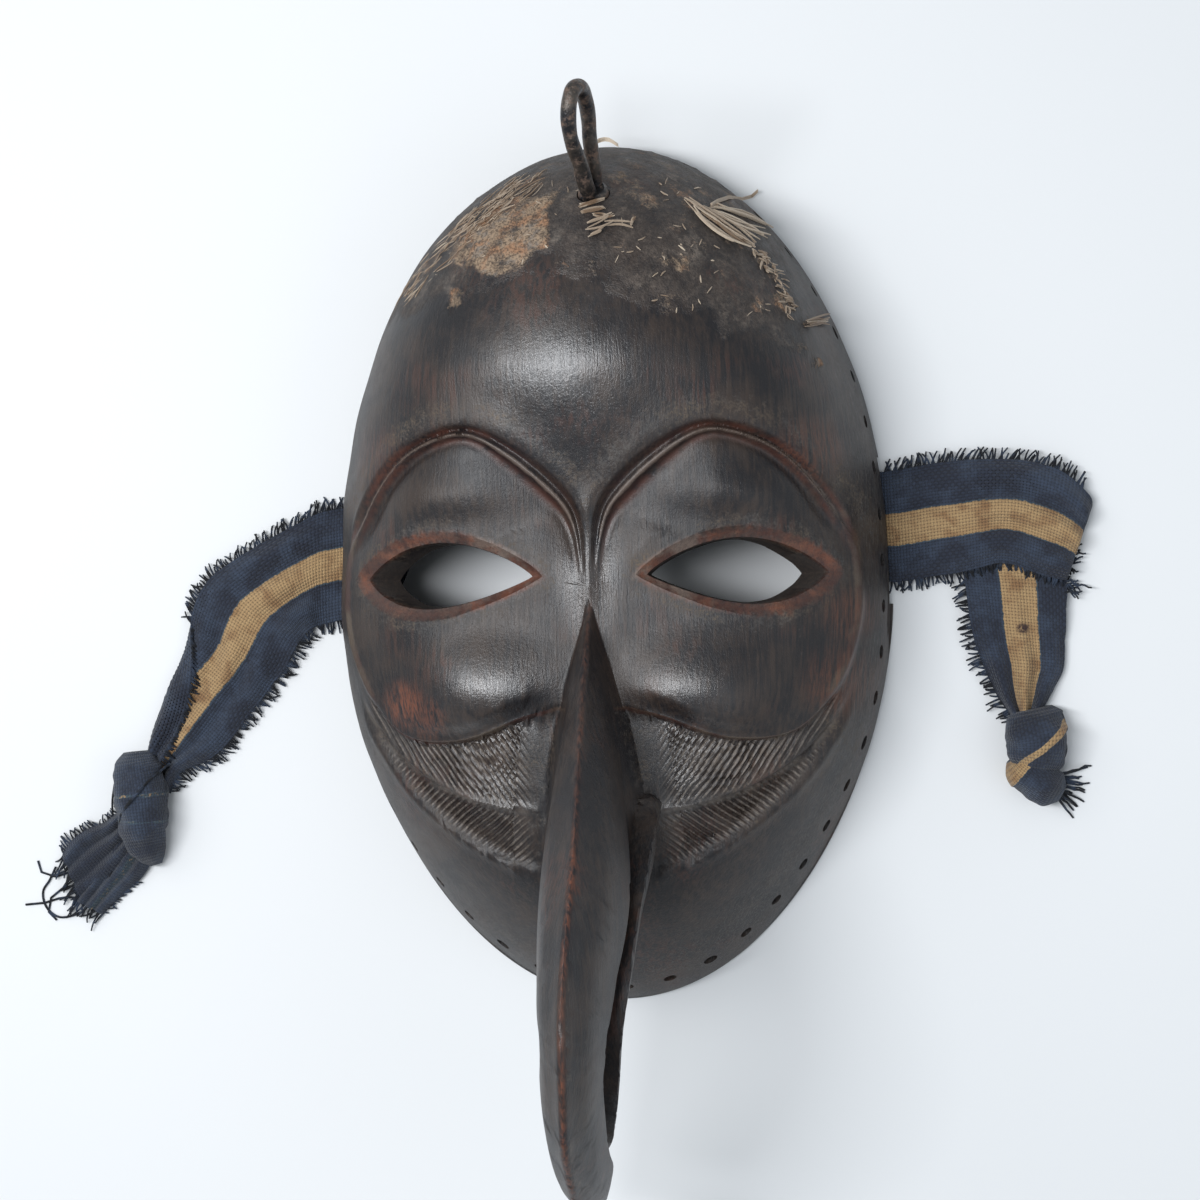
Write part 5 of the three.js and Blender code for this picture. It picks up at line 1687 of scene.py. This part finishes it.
# Straw and fibres stuck to the forehead, each from start to end, in mm
straws = {
    "radius": 0.27,
    "bundle": [[(26, 110.3), (44.4, 97.2)], [(27, 110.6), (41, 99.4)], [(28.4, 107.6), (44, 96.6)],
               [(29.3, 106.8), (39.5, 99.0)], [(31, 108.4), (45, 98.4)], [(33.8, 109.5), (45.6, 107)],
               [(33, 108), (47.2, 104.2)], [(34, 107.6), (46, 102.4)], [(35, 106.4), (47, 100.6)],
               [(34, 105.4), (43, 98.4)], [(32.6, 105.6), (42.4, 97.6)], [(30.4, 106.4), (38, 100.8)]],
    "husk": [[(1.2, 102.2), (7.4, 104.2)], [(1.4, 100.6), (7.8, 102.4)], [(2, 98.6), (6, 101)],
             [(2.8, 104.9), (7.9, 103.5)], [(6, 101.8), (13.5, 102.1)], [(13.3, 102), (13.7, 104.2)]],
    "chip": [[(-1.1, 106.8), (5, 108.8)], [(-1, 106.2), (5.2, 108)], [(-0.8, 105.7), (5.2, 107.2)],
             [(-1.2, 107.3), (4.6, 109.2)]],
    "stalk": [[33.2, 109.4], [34.8, 111.2], [37.0, 113.2], [39.4, 115.0], [41.8, 116.6], [43.6, 118.0]],
    "trail": [(44.4, 97.2), (47.5, 93.5), (50.0, 90.3), (52.2, 84.7), (54.3, 79.2)],
    "trailBits": 60,
    "stubs": 7,
    "bedded": 150,
    "beddedFrom": (-12, 121),
    "beddedTo": (-54, 89),
    "crumbs": 170,
    "hairs": 9,
}


def onFace(x, y, lift):
    return facePoint(np.array([x]), np.array([y]), lift + mudHeight(np.array([x]), np.array([y])))[0]


def beyond(x, y, turn, reach):
    return x + math.cos(turn) * reach, y + math.sin(turn) * reach


# one fibre lying on the face from start to end
def fibre(start, end, lift, thick, rng, bow=0.06, steps=7, rise=0.0):
    start, end = np.array(start, float), np.array(end, float)
    beside = np.array([-(end - start)[1], (end - start)[0]])
    bend = rng.normal() * bow
    path = []
    for k in range(steps):
        t = k / (steps - 1)
        x, y = start + (end - start) * t + beside * bend * math.sin(math.pi * t)
        path.append([*onFace(x, y, lift + rise * t), thick * (1 - 0.55 * abs(2 * t - 1) ** 3)])
    return path


def makeStraws(straw):
    rng = np.random.default_rng(71)
    paths, tones = [], []
    for name in ("bundle", "husk", "chip"):
        for start, end in straws[name]:
            for _ in range(2):
                ends = np.array(start) + rng.normal(size=2) * 0.35, np.array(end) + rng.normal(size=2) * 0.7
                lift, thick = rng.uniform(0.15, 1.3), rng.uniform(0.8, 1.7)
                paths.append(fibre(*ends, lift, thick, rng, rise=rng.uniform(0, 0.8)))
                tones.append(rng.uniform(0.55, 1.0))
    # one stalk stands off the forehead and past its outline
    for shift in (0.0, 0.5):
        paths.append([[x, y + shift, onFace(x, y, 1.0)[2] + 3.2 * (k / 5) ** 1.5, 1.5 - 0.12 * k]
                      for k, (x, y) in enumerate(straws["stalk"])])
        tones.append(0.8)
    # the trail of bits below the bundle, and pale stubs nearer the rim
    trail = np.array(straws["trail"])
    for _ in range(straws["trailBits"]):
        at = rng.uniform(0, 4)
        x, y = [np.interp(at, range(5), trail[:, i]) + rng.normal() * 0.9 for i in range(2)]
        turn, reach = rng.uniform(-1.6, 0.2), rng.uniform(0.8, 2.6)
        end = beyond(x, y, turn, reach)
        paths.append(fibre((x, y), end, rng.uniform(0.1, 0.6), rng.uniform(0.5, 1.4), rng, steps=4))
        tones.append(rng.uniform(0.4, 1.0))
    for _ in range(straws["stubs"]):
        start = (58 + rng.normal() * 0.5, 76.4 + rng.normal() * 0.5)
        end = (63.0 + rng.normal() * 0.4, 78.4 + rng.normal() * 0.8)
        paths.append(fibre(start, end, rng.uniform(0.3, 1.3), 1.2, rng))
        tones.append(rng.uniform(0.7, 1.0))
    # fibres bedded in the mud on the upper left, all leaning the same way
    high, low = np.array(straws["beddedFrom"]), np.array(straws["beddedTo"])
    for _ in range(straws["bedded"]):
        at = rng.uniform(0, 1)
        between = high * (1 - at) + low * at
        x, y = between + rng.normal(size=2) * [2.2, 2.6]
        turn, reach = math.radians(218 + rng.normal() * 9), rng.uniform(2.5, 9)
        end = beyond(x, y, turn, reach)
        if spread(*end) < 0.97 and spread(x, y) < 0.97:
            paths.append(fibre((x, y), end, rng.uniform(0.05, 0.4), rng.uniform(0.3, 0.9), rng, bow=0.04))
            tones.append(rng.uniform(0.0, 0.6))
    # loose crumbs of fibre all over the top
    for _ in range(straws["crumbs"]):
        x, y = rng.uniform(-46, 56), rng.uniform(72, 121)
        if spread(x, y) > 0.88 or mudCover(np.array([x]), np.array([y]))[0] < 0.3:
            continue
        turn, reach = rng.uniform(0, 6.28), rng.uniform(0.6, 2.4)
        end = beyond(x, y, turn, reach)
        paths.append(fibre((x, y), end, rng.uniform(0.0, 0.25), rng.uniform(0.4, 1.0), rng, steps=3))
        tones.append(rng.uniform(0.1, 0.9))
    # a few pale hairs in an arc at the very top
    for k in range(straws["hairs"]):
        spine = [(-3.0 + k * 0.15, 126.5, 28), (-0.6, 129.8 + k * 0.16, 25.5),
                 (2.6, 131.0 + k * 0.13, 23.5), (5.6, 129.2 + k * 0.1, 24.5)]
        spine = [[x + rng.normal() * 0.15, y, z + rng.normal() * 0.2, 0.45] for x, y, z in spine]
        paths.append(smoothThread(spine, 9))
        tones.append(1.0)
    piece = makeThreads("straw-and-fibres", paths, straws["radius"], straw, np.array(tones))
    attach(piece, "root")
    say(f"{len(paths)} straws and fibres are laid")


shared["film"], shared["grain"] = makeFilmGroup(), makeGrainGroup()
shared["wear"], shared["weave"] = makeWearGroup(), makeWeaveGroup()
makeStage()
makeMask(makeWood())
makeLoop(makeIron())
cotton, yarn = makeCloth(), makeYarn()
makeLeftTie(cotton, yarn)
makeRightTie(cotton, yarn)
makeStraws(makeStraw())
